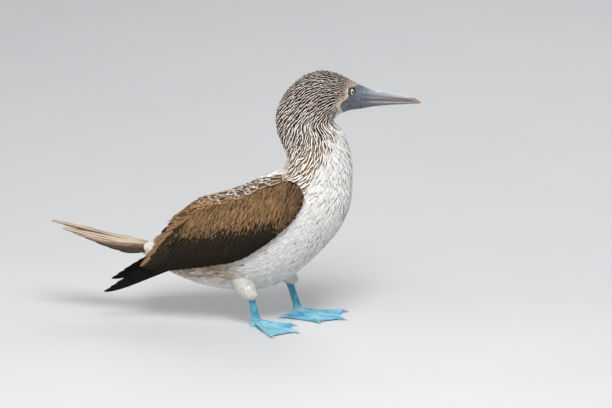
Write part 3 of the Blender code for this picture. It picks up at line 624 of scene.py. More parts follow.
class Paint:
    """A material that is built up node by node."""

    def __init__(self, name, roughness, **constants):
        self.material = bpy.data.materials.new(name)
        self.material.use_nodes = True
        self.nodes = self.material.node_tree.nodes
        self.links = self.material.node_tree.links
        self.shader = self.nodes["Principled BSDF"]
        self.put("Roughness", roughness)
        for label, value in constants.items():
            self.shader.inputs[label.replace("_", " ").title().replace("Ior", "IOR")].default_value = value

    def feed(self, socket, value):
        if isinstance(value, bpy.types.NodeSocket):
            self.links.new(value, socket)
        elif hasattr(value, "__len__") and len(value) == 3 and len(socket.default_value) == 4:
            socket.default_value = (*value, 1)
        else:
            socket.default_value = value

    def put(self, label, value):
        self.feed(self.shader.inputs[label], value)

    def place(self):
        return self.nodes.new("ShaderNodeTexCoord").outputs["Object"]

    def attribute(self, name, output="Color"):
        node = self.nodes.new("ShaderNodeAttribute")
        node.attribute_name = name
        return node.outputs[output]

    def split(self, vector):
        node = self.nodes.new("ShaderNodeSeparateXYZ")
        self.feed(node.inputs[0], vector)
        return node.outputs[:]

    def join(self, x, y, z):
        node = self.nodes.new("ShaderNodeCombineXYZ")
        for socket, value in zip(node.inputs, (x, y, z)):
            self.feed(socket, value)
        return node.outputs[0]

    def math(self, operation, a, b=0.0):
        node = self.nodes.new("ShaderNodeMath")
        node.operation = operation
        self.feed(node.inputs[0], a)
        self.feed(node.inputs[1], b)
        return node.outputs[0]

    def times(self, a, b):
        return self.math("MULTIPLY", a, b)

    def plus(self, a, b):
        return self.math("ADD", a, b)

    def minus(self, a, b):
        return self.math("SUBTRACT", a, b)

    def step(self, value, low, high, start=0.0, end=1.0):
        node = self.nodes.new("ShaderNodeMapRange")
        node.interpolation_type = "SMOOTHSTEP"
        for label, number in (("Value", value), ("From Min", low), ("From Max", high),
                              ("To Min", start), ("To Max", end)):
            self.feed(node.inputs[label], number)
        return node.outputs[0]

    def noise(self, vector, scale, detail=3.0):
        node = self.nodes.new("ShaderNodeTexNoise")
        self.feed(node.inputs["Vector"], vector)
        node.inputs["Scale"].default_value = scale
        node.inputs["Detail"].default_value = detail
        return node.outputs["Fac"]

    def cells(self, vector, scale, feature="F1"):
        node = self.nodes.new("ShaderNodeTexVoronoi")
        node.feature = feature
        self.feed(node.inputs["Vector"], vector)
        node.inputs["Scale"].default_value = scale
        return node.outputs["Distance"]

    def stretch(self, vector, x, y, z, turn=0.0):
        """A pattern's place turned about the upright axis, then scaled."""
        node = self.nodes.new("ShaderNodeMapping")
        self.feed(node.inputs["Vector"], vector)
        node.inputs["Rotation"].default_value = (0, 0, turn)
        last = self.nodes.new("ShaderNodeMapping")
        self.feed(last.inputs["Vector"], node.outputs[0])
        last.inputs["Scale"].default_value = (x, y, z)
        return last.outputs[0]

    def mix(self, share, a, b):
        node = self.nodes.new("ShaderNodeMix")
        node.data_type = "RGBA"
        self.feed(node.inputs["Factor"], share)
        self.feed(node.inputs[6], a)
        self.feed(node.inputs[7], b)
        return node.outputs[2]

    def scale(self, tint, factor):
        """A colour made lighter or darker by a factor."""
        node = self.nodes.new("ShaderNodeVectorMath")
        node.operation = "SCALE"
        self.feed(node.inputs[0], tint)
        self.feed(node.inputs["Scale"], factor)
        return node.outputs[0]

    def bump(self, height, strength, distance):
        node = self.nodes.new("ShaderNodeBump")
        node.inputs["Strength"].default_value = strength
        node.inputs["Distance"].default_value = distance
        self.feed(node.inputs["Height"], height)
        self.put("Normal", node.outputs[0])


def plumage(name, rim, barbs, shaft=0.0, tip_rim=0.0, fray=0.25, roughness=0.7, soft=0.14, relief=0.35,
            streaks=0.0):
    """Feathers with a core colour, a rim of another, a shaft line, long streaks and fine slanting barbs."""
    paint = Paint(name, roughness, specular_ior_level=0.12)
    across, along, seed = paint.split(paint.attribute("Vane", "Vector"))
    edge = paint.math("ABSOLUTE", across)

    def threads(beside, ahead, apart, scale, detail):
        """Noise that differs from feather to feather."""
        place = paint.join(paint.times(across, beside), paint.times(along, ahead), paint.times(seed, apart))
        return paint.noise(place, scale, detail)

    grain = threads(3.0, 2.0, 60.0, 2.2, 3.0)
    ragged = paint.times(paint.minus(grain, 0.5), fray * 2)
    near = paint.plus(edge, ragged)
    if tip_rim:
        by_tip = paint.plus(paint.step(along, 1 - tip_rim * 2, 1.0, 0.0, 1.3), ragged)
        near = paint.math("MAXIMUM", near, by_tip)
    share = paint.step(near, rim - soft, rim + soft)
    if streaks:
        long_streaks = paint.step(threads(5.0, 1.6, 40.0, 1.7, 2.0), 0.5, 0.62, 0.0, streaks)
        share = paint.math("MAXIMUM", share, long_streaks)
    tint = paint.mix(share, paint.attribute("Core"), paint.attribute("Rim"))
    slant = paint.plus(paint.times(along, barbs), paint.times(edge, -barbs * 0.16))
    wave = paint.math("SINE", paint.plus(paint.times(slant, 2 * math.pi), paint.times(seed, 9.0)))
    lines = paint.plus(paint.times(wave, 0.5), grain)
    tint = paint.scale(tint, paint.step(lines, -0.2, 1.4, 0.8, 1.16))
    if shaft:
        tint = paint.scale(tint, paint.step(edge, 0.03, 0.10, shaft, 1.0))
    tint = paint.scale(tint, paint.step(seed, 0.0, 1.0, 0.9, 1.08))
    paint.put("Base Color", tint)
    paint.bump(lines, relief, 0.25 * MM)
    return paint.material


def skin_paint():
    """Skin: bare and pebbled on the face, hidden elsewhere under feathers of the same colour."""
    paint = Paint("skin", 0.6, specular_ior_level=0.35)
    place = paint.place()
    bare = paint.attribute("Bare", "Fac")
    soft = paint.noise(place, 260.0, 4.0)
    broad = paint.noise(place, 75.0, 2.0)
    tint = paint.scale(paint.attribute("Core"), paint.step(soft, 0.3, 0.75, 0.8, 1.25))
    paint.put("Base Color", paint.scale(tint, paint.step(broad, 0.35, 0.65, 0.78, 1.35)))
    paint.put("Roughness", paint.step(bare, 0.0, 1.0, 0.85, 0.5))
    pebbles = paint.plus(paint.cells(place, 900.0), paint.times(soft, 1.2))
    paint.bump(pebbles, 0.45, 0.5 * MM)
    return paint.material


def horn_paint():
    """Bill: slate base, painted highlights on the top and under the mouth's line, brown cutting edges, tan
    tip.
    """
    cutting_edge, lower_highlight_line, face_seam = 385.6 * MM, 380.4 * MM, 212.6 * MM
    paint = Paint("grey_horn", 0.38, specular_ior_level=0.45)
    place = paint.place()
    x, _, z = paint.split(place)
    x = paint.minus(x, HOME[0])

    def off(value, line):
        return paint.math("ABSOLUTE", paint.minus(value, line))

    long_grain = paint.noise(paint.stretch(place, 0.18, 1, 1), 900.0, 4.0)
    blotch = paint.noise(paint.stretch(place, 0.5, 1, 1), 130.0, 3.0)
    base = paint.mix(paint.step(blotch, 0.35, 0.7), colour("slate") * 0.85, colour("slate") * 1.5)
    base = paint.mix(paint.step(x, 214 * MM, 246 * MM), base, (0.155, 0.165, 0.185))
    # Painted highlight: the top of the bill is painted paler, where the light falls on it.
    pale = paint.mix(paint.step(blotch, 0.35, 0.7), (0.36, 0.38, 0.42), (0.54, 0.56, 0.60))
    height = paint.plus(z, paint.times(x, 0.155))
    ridge = paint.times(paint.step(height, 430 * MM, 435 * MM), paint.step(x, 213 * MM, 240 * MM))
    tint = paint.mix(ridge, base, pale)
    by_edge = paint.step(off(z, cutting_edge), 3.2 * MM, 1.0 * MM)
    brown = paint.times(by_edge, paint.step(x, 224 * MM, 240 * MM))
    tint = paint.mix(paint.times(brown, 0.85), tint, (0.14, 0.085, 0.055))
    # Painted highlight: a pale line along the lower bill, just below the mouth's line.
    highlight_line = paint.times(paint.step(off(z, lower_highlight_line), 1.5 * MM, 0.5 * MM), paint.step(x, 214 * MM, 236 * MM))
    tint = paint.mix(paint.times(highlight_line, 0.8), tint, (0.50, 0.44, 0.40))
    plate = paint.times(paint.step(off(x, face_seam), 0.9 * MM, 0.3 * MM), paint.step(z, 387 * MM, 384 * MM))
    tint = paint.mix(paint.times(plate, 0.5), tint, (0.35, 0.27, 0.25))
    tint = paint.mix(paint.step(x, 293 * MM, 306 * MM), tint, (0.40, 0.25, 0.14))
    paint.put("Base Color", paint.scale(tint, paint.step(long_grain, 0.3, 0.7, 0.86, 1.12)))
    paint.bump(paint.plus(long_grain, paint.times(blotch, 0.6)), 0.35, 0.35 * MM)
    return paint.material


def eye_paint():
    """Eyeball: small pupil, pale yellow iris with fine rays, and a dark edge."""
    paint = Paint("yellow_eye", 0.1, coat_weight=0.3, specular_ior_level=0.5)
    reach = paint.attribute("Iris", "Fac")
    rays = paint.noise(paint.place(), 1500.0, 2.0)
    iris = paint.mix(paint.step(rays, 0.3, 0.7), (0.58, 0.62, 0.36), (0.80, 0.82, 0.52))
    iris = paint.mix(paint.step(reach, 2.2, 3.2), (0.45, 0.48, 0.20), iris)
    tint = paint.mix(paint.step(reach, 2.0, 2.2), (0.004, 0.004, 0.004), iris)
    tint = paint.mix(paint.step(reach, 5.3, 5.7), tint, (0.012, 0.013, 0.016))
    paint.put("Base Color", tint)
    return paint.material


def foot_paint(word, heading):
    """Scaly skin: turquoise leg streaked with painted highlight and shade, blue toes and webs, creases that
    run forward.
    """
    paint = Paint("blue_foot_skin_" + word, 0.5, specular_ior_level=0.35)
    place = paint.place()
    _, _, z = paint.split(place)
    plates = paint.cells(paint.stretch(place, 1, 1, 0.8), 430.0, "DISTANCE_TO_EDGE")
    bends = paint.times(paint.noise(place, 160.0, 2.0), 9.0)
    wavy = paint.plus(paint.times(z, 2 * math.pi / (2.3 * MM)), bends)
    ankle = paint.times(paint.step(z, 7 * MM, 11 * MM), paint.step(z, 30 * MM, 22 * MM))
    folds_and_shade = paint.times(paint.math("SINE", wavy), ankle)
    forward = math.radians(-heading)
    long_lines_and_sheen = paint.noise(paint.stretch(place, 1, 1, 0.06), 520.0, 3.0)
    creases = paint.noise(paint.stretch(place, 0.16, 1, 1, forward), 420.0, 4.0)
    soft = paint.noise(paint.stretch(place, 0.4, 1, 1, forward), 70.0, 3.0)
    turquoise, web = colour("turquoise"), colour("web")
    # The leg's lengthwise lines are partly its own fine lines and partly painted light: dark and bright
    # streaks of painted shade and painted highlight.
    leg = paint.mix(
        paint.step(long_lines_and_sheen, 0.36, 0.64), turquoise * (0.35, 0.62, 0.9), turquoise * (1.6, 1.2, 1.05))
    leg = paint.mix(paint.step(z, 38 * MM, 58 * MM, 0.0, 0.6), leg, (0.10, 0.30, 0.60))
    foot = paint.mix(paint.step(soft, 0.32, 0.68), web * (0.5, 0.72, 0.95), web * (1.3, 1.12, 1.04))
    tint = paint.mix(paint.step(z, 9 * MM, 26 * MM), foot, leg)
    tint = paint.scale(tint, paint.step(creases, 0.32, 0.68, 0.8, 1.1))
    # Painted shade: the ankle's folds are painted darker in their troughs; the same waves also raise the
    # folds' relief.
    tint = paint.scale(tint, paint.step(folds_and_shade, -0.9, 0.6, 0.72, 1.06))
    paint.put("Base Color", paint.scale(tint, paint.step(plates, 0.0, 0.14, 0.8, 1.04)))
    relief = paint.plus(paint.step(plates, 0.0, 0.2), paint.times(creases, 1.6))
    paint.bump(paint.plus(relief, paint.times(folds_and_shade, 0.5)), 0.7, 0.6 * MM)
    return paint.material


def claw_paint():
    """Claws: pale grey horn."""
    paint = Paint("grey_claw", 0.35, specular_ior_level=0.5)
    grain = paint.noise(paint.place(), 1200.0, 3.0)
    paint.put("Base Color", paint.mix(grain, (0.34, 0.33, 0.30), (0.62, 0.60, 0.54)))
    paint.bump(grain, 0.3, 0.2 * MM)
    return paint.material


# Solid pieces

def select_only(piece=None):
    """Leaves nothing selected, or only one object, which is then the active one."""
    bpy.ops.object.select_all(action="DESELECT")
    if piece:
        piece.select_set(True)
        bpy.context.view_layer.objects.active = piece


def copy_of(name, nodes, swell=0.0):
    """One merged mesh object from copies of CAD nodes, each let out by swell."""
    copies = []
    for node in nodes:
        form = bmesh.new()
        form.from_mesh(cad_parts[node].data)
        bmesh.ops.remove_doubles(form, verts=form.verts, dist=0.01 * MM)
        form.normal_update()
        moves = [vert.normal * swell for vert in form.verts]
        for vert, move in zip(form.verts, moves):
            vert.co += move
        mesh = bpy.data.meshes.new(name)
        form.to_mesh(mesh)
        form.free()
        copies.append(bpy.data.objects.new(name, mesh))
        bpy.context.scene.collection.objects.link(copies[-1])
    select_only(copies[0])
    if len(copies) > 1:
        for copy in copies:
            copy.select_set(True)
        bpy.ops.object.join()
    return copies[0]


def apply_modifier(piece, kind, **values):
    """Adds a modifier and applies it."""
    select_only(piece)
    step = piece.modifiers.new(kind.title(), kind)
    for label, value in values.items():
        setattr(step, label, value)
    bpy.ops.object.modifier_apply(modifier=step.name)


def fine_copy(name, nodes, grain, passes, swell):
    """Copies of CAD nodes made one fine, smooth skin."""
    piece = copy_of(name, nodes, swell)
    apply_modifier(piece, "REMESH", mode="VOXEL", voxel_size=grain)
    apply_modifier(piece, "SMOOTH", factor=0.5, iterations=passes)
    piece.data.shade_smooth()
    return piece


def refine(mesh, low, high, cuts):
    """Divides the faces between two corners, given in mm, into smaller ones."""
    form = bmesh.new()
    form.from_mesh(mesh)
    low, high = (Vector(HOME) + Vector(corner) * MM for corner in (low, high))

    def within(vert):
        return all(a < c < b for a, c, b in zip(low, vert.co, high))

    inside = [edge for edge in form.edges if all(within(vert) for vert in edge.verts)]
    bmesh.ops.subdivide_edges(form, edges=inside, cuts=cuts, use_grid_fill=True, smooth=0.6)
    form.to_mesh(mesh)
    form.free()


def read_points(mesh):
    """A mesh's points in mm in the bird's frame, and its normals."""
    points, normals = (np.zeros(len(mesh.vertices) * 3, np.float32) for _ in range(2))
    mesh.vertices.foreach_get("co", points)
    mesh.vertex_normals.foreach_get("vector", normals)
    return (points.reshape(-1, 3) - HOME) / MM, normals.reshape(-1, 3)


def write_points(mesh, points):
    """Puts a mesh's points where they are given in mm."""
    mesh.vertices.foreach_set("co", (points * MM + HOME).astype(np.float32).ravel())
    mesh.update()


def write_value(mesh, name, values):
    """A number or colour for each point of a mesh."""
    values = np.asarray(values)
    if values.ndim == 1:
        mesh.attributes.new(name, "FLOAT", "POINT").data.foreach_set("value", values.astype(np.float32))
        return
    layer = mesh.attributes.new(name, "FLOAT_COLOR", "POINT")
    layer.data.foreach_set("color", np.hstack([values, np.ones((len(values), 1))]).astype(np.float32).ravel())


def finish_piece(piece, material, nodes=()):
    """Gives a piece its finish and hangs it on the bird, in place of the nodes it stands for."""
    piece.data.materials.clear()
    piece.data.materials.append(material)
    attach(piece, "root")
    if nodes:
        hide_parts(*nodes)


# Markings

def into_face(spots):
    """How far a place is in front of the edge of the bare face."""
    return spots[:, 0] - look_up(BARE_FACE, spots[:, 2])


def bareness(spots):
    """How far inside the bare face a place is, from 0 to 1."""
    return ramp(into_face(spots), -1.5, 1.5) * (spots[:, 2] > FACE_FOOT)


def coat_depths(spots):
    """The coat's depth at places on the body, less on the head."""
    head = ramp(spots[:, 2], *HEAD_STARTS)
    return (sizes().coat_depth * (1 - head) + sizes().head_depth * head) / MM


def markings(spots, random):
    """Core and rim colours of the small feathers at places on the body."""
    count = len(spots)
    x, y, z = spots.T
    white, cream, dark, warm = (colour(name) for name in ("white", "cream", "dark", "warm"))
    core = varied(white, count, 0.02, random)
    rim = core * 0.97
    # Belly: warmer behind, tan under the wing
    flank = ramp(-x, -38, 0) * ramp(x, -112, -84) * ramp(z, 62, 84) * (np.abs(y) > 20)
    core = blend(core, (0.62, 0.54, 0.42), 0.7 * ramp(-x, 10, 90) * random.random(count))
    core = blend(core, (0.30, 0.20, 0.12), flank * random.random(count) ** 0.4)
    rim = blend(rim, core, flank)
    # Head and neck: pale streaks with dark edges, browner low down and tan round the face
    limit = look_up(STREAKED, z) + 5 * random.standard_normal(count)
    streaked = (x < limit) & (z > NECK_FOOT + 6 * random.standard_normal(count))
    streak_rim = blend(warm, dark, ramp(z, 285, 335))
    streak_core = blend(cream, white, ramp(-z, -270, -235) * 0.5)
    forehead = ramp(x, 184, 196) * (z > 400)
    brow = np.maximum(ramp(into_face(spots), -8, -3), forehead) * (z > FACE_FOOT - 2)
    streak_rim = blend(streak_rim, (0.42, 0.33, 0.24), 0.85 * brow)
    streak_core = blend(streak_core, (0.74, 0.66, 0.55), brow)
    core[streaked] = varied(streak_core, count, 0.08, random)[streaked]
    rim[streaked] = varied(streak_rim, count, 0.25, random)[streaked]
    # Foot of the nape: a white patch
    wide = 15 + 14 * ramp(z, 262, 280) + 5 * random.standard_normal(count)
    patch = (x < 0.5 * z - 40) & (z > 240) & (z < 296) & (np.abs(y) < wide)
    core[patch], rim[patch] = white, white * 0.93
    # Back, between the wings' upper edges
    back = (z > look_up(WING_TOP, x) - 20) & (x < 66) & (x > -124) & ~patch
    core[back], rim[back] = colour("covert"), blend(colour("covert"), white, 0.5)
    return core, rim


# Operators

class BOOBY_OT_skin(bpy.types.Operator):
    """Makes the one skin under the feathers and of the bare face"""

    bl_idname = "booby.skin"
    bl_label = "Skin"

    def execute(self, context):
        nodes = ("head", "neck", "torso", "thigh_left", "thigh_right")
        skin = fine_copy("skin", nodes, sizes().skin_grain, 8, swell=0.3 * MM)
        refine(skin.data, (168, -40, FACE_FOOT), (215, 40, 412), 2)
        points, normals = read_points(skin.data)
        x, _, z = points.T
        bare = bareness(points)
        depth = coat_depths(points) * (1 - ramp(into_face(points), -12, 1) * ramp(z, *HEAD_STARTS)) + 0.3
        gape = np.exp(-((z - look_up(MOUTH, x)) / 0.55) ** 2) * ramp(x, 184, 189)
        moved = points - normals * (depth + 0.9 * gape * bare)[:, None]
        moved[:, 0] += 2.0 * ramp(x, 206, 210.5)
        write_points(skin.data, moved)
        core, rim = markings(points, seeded(1))
        tint = blend(core, rim, np.full(len(core), 0.6))
        slate = colour("slate")
        middles = [(np.array(middle) - HOME) / MM for middle in EYE_MIDDLES]
        off_eye = np.minimum(*(np.linalg.norm(points - middle, axis=1) for middle in middles))
        # The skin is darker round the eye, and along the sunk line of the mouth it is painted darker as
        # painted shade in that groove.
        face = blend(slate, slate * 0.4, np.maximum(ramp(-off_eye, -10.5, -7.5), 0.9 * gape))
        write_value(skin.data, "Core", blend(tint, face, bare))
        write_value(skin.data, "Bare", bare)
        finish_piece(skin, skin_paint(), nodes)
        return {"FINISHED"}


class BOOBY_OT_eyes(bpy.types.Operator):
    """Sets the eyeballs and the rings of lid round them"""

    bl_idname = "booby.eyes"
    bl_label = "Eyes"

    def execute(self, context):
        eye_material, lid_material = eye_paint(), skin_paint()
        turn = math.radians(EYE_LOOKS)
        for side, word, middle in zip((-1, 1), ("right", "left"), EYE_MIDDLES):
            looks = Vector((math.sin(turn), side * math.cos(turn), EYE_RISES)).normalized()
            facing = looks.to_track_quat("Z", "Y").to_matrix().to_4x4()
            place = Matrix.Translation(middle + EYE_SHIFT) @ facing
            self.set_eyeball(word, place, eye_material)
            self.set_lid(word, place, lid_material)
        return {"FINISHED"}

    def set_eyeball(self, word, place, material):
        select_only()
        bpy.ops.mesh.primitive_uv_sphere_add(segments=48, ring_count=40, radius=EYE_RADIUS * MM)
        eye = bpy.context.object
        eye.name = "eyeball_" + word
        spots = [vert.co / MM for vert in eye.data.vertices]
        reach = [math.hypot(spot.x, spot.y) if spot.z > 0 else EYE_RADIUS for spot in spots]
        write_value(eye.data, "Iris", reach)
        eye.data.transform(place)
        eye.data.shade_smooth()
        finish_piece(eye, material, ("eye_" + word,))

    def set_lid(self, word, place, material):
        """A ring that follows the ball, its opening narrower than it is high."""
        select_only()
        bpy.ops.mesh.primitive_torus_add(
            major_radius=(LID_OPENING + 0.7) * MM, minor_radius=1.25 * MM,
            major_segments=56, minor_segments=18)
        lid = bpy.context.object
        lid.name = "eyelid_" + word
        out = math.sqrt(EYE_RADIUS ** 2 - LID_OPENING ** 2)
        for vert in lid.data.vertices:
            spot = vert.co / MM
            reach = math.hypot(spot.x, spot.y)
            spot.x *= LID_NARROWER + (1 - LID_NARROWER) * min(1, max(0, (reach - LID_OPENING + 0.6) / 2.4))
            ball = math.sqrt(max(EYE_RADIUS ** 2 - spot.x ** 2 - spot.y ** 2, 0))
            spot.z = max(out + spot.z * 0.8, ball + 0.4 + 0.35 * spot.z)
            vert.co = spot * MM
        lid.data.transform(place)
        lid.data.shade_smooth()
        count = len(lid.data.vertices)
        write_value(lid.data, "Core", np.tile(colour("slate") * 0.42, (count, 1)))
        write_value(lid.data, "Bare", np.ones(count))
        finish_piece(lid, material)


class BOOBY_OT_bill(bpy.types.Operator):
    """Makes both halves of the horny bill"""

    bl_idname = "booby.bill"
    bl_label = "Bill"

    def execute(self, context):
        material = horn_paint()
        for node, name in (("bill_upper", "upper_bill"), ("bill_lower", "lower_bill")):
            bill = fine_copy(name, (node,), 0.6 * MM, 6, swell=0.05 * MM)
            points, normals = read_points(bill.data)
            x, _, z = points.T
            groove = np.exp(-((z - look_up(BILL_GROOVE, x)) / 0.9) ** 2)
            groove = groove * ramp(x, 208, 216) * ramp(-x, -292, -280)
            points = points - normals * (0.55 * groove * (np.abs(normals[:, 1]) > 0.4))[:, None]
            write_points(bill.data, points)
            finish_piece(bill, material, (node,))
        return {"FINISHED"}


class BOOBY_OT_feet(bpy.types.Operator):
    """Makes the legs, the webbed feet and the claws"""

    bl_idname = "booby.feet"
    bl_label = "Legs and feet"

    def execute(self, context):
        claw_material = claw_paint()
        for word, leg in LEGS.items():
            nodes = ("leg_" + word, "foot_" + word)
            foot = fine_copy("webbed_foot_" + word, nodes, 0.75 * MM, 5, swell=0.2 * MM)
            points, _ = read_points(foot.data)
            points[:, 2] = np.maximum(points[:, 2], 0)
            write_points(foot.data, points)
            finish_piece(foot, foot_paint(word, leg["heading"]), nodes)
            for number in range(1, 5):
                node = f"claw_{word}_{number}"
                claw = copy_of(f"nail_{word}_{number}", (node,))
                apply_modifier(claw, "SUBSURF", levels=2, render_levels=2)
                points, _ = read_points(claw.data)
                points[:, 2] = np.maximum(points[:, 2], 0)
                write_points(claw.data, points)
                claw.data.shade_smooth()
                finish_piece(claw, claw_material, (node,))
        return {"FINISHED"}


# Body feathers by row: length, width, and how much of their width the rim takes.
FEATHER_LENGTHS = (
    (0, 17), (6, 16), (8, 17), (10, 18), (13, 16), (15, 14), (17, 11), (18.5, 8), (19.5, 6), (20.3, 4.6),
    (21, 3.8),
)
FEATHER_WIDTHS = (
    (0, 6), (5, 6), (8, 5.7), (10, 5.7), (13, 5.6), (15, 5.4), (17, 5.0), (18.5, 4.4), (19.5, 3.0),
    (20.3, 2.0), (21, 1.5),
)
RIM_BOLDNESS = ((8, 0.95), (11, 1.2), (14, 1.5), (16, 2.1), (18, 2.6))


def under_wing(spots):
    """Places on the body that the folded wings hide."""
    x, y, z = spots.T
    low, high = look_up(WING_LOW, x) + 9, look_up(WING_TOP, x) - 9
    return (z > low) & (z < high) & (np.abs(y) > 20) & (x < 112)


def lay_coat(name, low, high, step, plume, material, slot, sunk=1.0):
    """Small feathers on the body between two rows. sunk is the share of the coat's depth they root at."""
    random = seeded(step)
    surface = BODY_SURFACE

    def spacing(q, spots):
        close = sizes().closeness * (0.7 + 0.3 * sunk)
        beside = look_up(FEATHER_WIDTHS, q[:, 1]) * close
        return beside, look_up(FEATHER_LENGTHS, q[:, 1]) * 0.55 * close

    def keep(q, spots):
        bare = spots[:, 0] > look_up(BARE_FACE, spots[:, 2]) - 0.5
        return ~under_wing(spots) & ~(bare & (spots[:, 2] > FACE_FOOT))

    roots = scatter(surface, (0, low), (2 * math.pi, high), spacing, keep, random)
    spots = surface.at(roots)
    angle, row = roots.T
    count = len(roots)
    length = look_up(FEATHER_LENGTHS, row) * random.uniform(0.8, 1.2, count)
    width = look_up(FEATHER_WIDTHS, row) * random.uniform(0.85, 1.15, count)
    on_neck = ramp(row, 7.5, 10) * ramp(-row, -16.5, -13.5)
    back = np.sin(angle) * (0.5 + 0.5 * np.cos(angle)) * on_neck
    swing = 0.10 * random.standard_normal(count) - NAPE_SWEEP * back
    tips = surface.tips(roots, np.sin(swing), -np.cos(swing), length)
    core, rim = markings(spots, random)
    bold = look_up(RIM_BOLDNESS, row) * random.uniform(0.8, 1.2, count)
    nape = ramp(spots[:, 2], 240, 300) * ramp(np.cos(angle), 0.1, 0.7)
    small = ramp(row, 16, 21)
    stand = (0.1 + 0.3 * sunk * random.random(count)) * (1 - 0.7 * small)
    stand = stand + nape * random.random(count) ** 2 * 1.8
    lifts = -coat_depths(spots) * sunk * (0.9 - 0.6 * small), stand
    coat = Coat()
    coat.lay(surface, roots, tips, plume, width, lifts, core, rim, random, bold=bold)
    coat.build(name, material, slot)


class BOOBY_OT_coat(bpy.types.Operator):
    """Lays the small feathers of head, neck, breast, belly and thighs"""

    bl_idname = "booby.coat"
    bl_label = "Small feathers"

    def execute(self, context):
        streaks = plumage("streaked_feathers", 0.48, 9.0, fray=0.12, soft=0.08, roughness=0.85)
        whites = plumage("white_feathers", 0.7, 9.0, fray=0.3, roughness=0.85, relief=0.2)
        lay_coat("head_feathers", 13.5, FACE_ROW + 0.3, 11, HACKLE, streaks, "streaked_feathers")
        lay_coat("neck_feathers", 8.5, 13.5, 12, HACKLE, streaks, "streaked_feathers")
        lay_coat("breast_feathers", 4.5, 8.5, 13, DOWN, streaks, "white_feathers", 0.45)
        lay_coat("belly_feathers", 0.05, 4.5, 14, DOWN, whites, "white_feathers", 0.45)
        for step, word in enumerate(LEGS):
            self.lay_thigh(word, seeded(15 + step), whites)
        return {"FINISHED"}

    def lay_thigh(self, word, random, material):
        """A cuff of small feathers, which sinks into the belly at its top."""
        surface = THIGH_SURFACES[word]
        roots = scatter(surface, (0, 0.02), (2 * math.pi, 5.0), lambda q, spots: (2.0, 3.2),
                        lambda q, spots: np.ones(len(q), bool), random)
        row = roots[:, 1]
        count = len(roots)
        swing = 0.15 * random.standard_normal(count)
        length = 11 * random.uniform(0.7, 1.1, count) * (0.4 + 0.6 * ramp(row, 0, 2))
        tips = surface.tips(roots, np.sin(swing), -np.cos(swing), length)
        # The thighs' white is warmer as their own tone, and darker as painted shade.
        core = varied(colour("white") * (0.86, 0.84, 0.81), count, 0.03, random)
        sunk = ramp(row, 1.8, 3.6)
        lifts = -2.4 - 2.2 * sunk, random.uniform(-0.2, 0.2, count) - 3.4 * sunk
        coat = Coat()
        coat.lay(surface, roots, tips, DOWN, np.full(count, 3.6), lifts, core, core * 0.97, random)
        coat.build("thigh_feathers_" + word, material, "white_feathers")


def lay_tier(coat, label, core, rim, random, tilt=-0.45):
    """A tier of long wing feathers, each with its rear edge under the next."""
    count, roots, tips, width, lifts = TIERS[label]
    roots, tips = (WING_SURFACE.q_of(even_line(ends, count)) for ends in (roots, tips))
    widths = width * random.uniform(0.94, 1.06, count)
    lifts = [np.full(count, lift) for lift in lifts]
    coat.lay(WING_SURFACE, roots, tips, QUILL, widths, lifts, varied(core, count, 0.08, random),
             varied(rim, count, 0.08, random), random, tilt=tilt)


def add_wing_plate(coat, tint, rows=40, columns=12):
    """A closed plate that the wing's feathers lie on, thin at its rim."""
    t, v = np.linspace(0, 1, rows)[:, None], np.linspace(0, 1, columns)[None]
    tops, lows = even_line(WING_TOP, rows), even_line(WING_LOW, rows)
    share = v * (1 - 0.14 * np.clip((t - 0.22) / 0.15, 0, 1))
    grid = WING_SURFACE.q_of(tops[:, None] + (lows - tops)[:, None] * share[..., None])
    inside = np.minimum(np.minimum(t / 0.12, (1 - t) / 0.08), np.minimum(v / 0.16, (1 - v) / 0.16))
    outer = -1.8 - 4.5 * (1 - np.clip(inside, 0, 1)) ** 2
    inner = -8.4 + 3.2 * np.clip((t - 0.45) / 0.2, 0, 1) + 0 * v
    coat.add_plate(WING_SURFACE, grid, (outer, inner), tint)


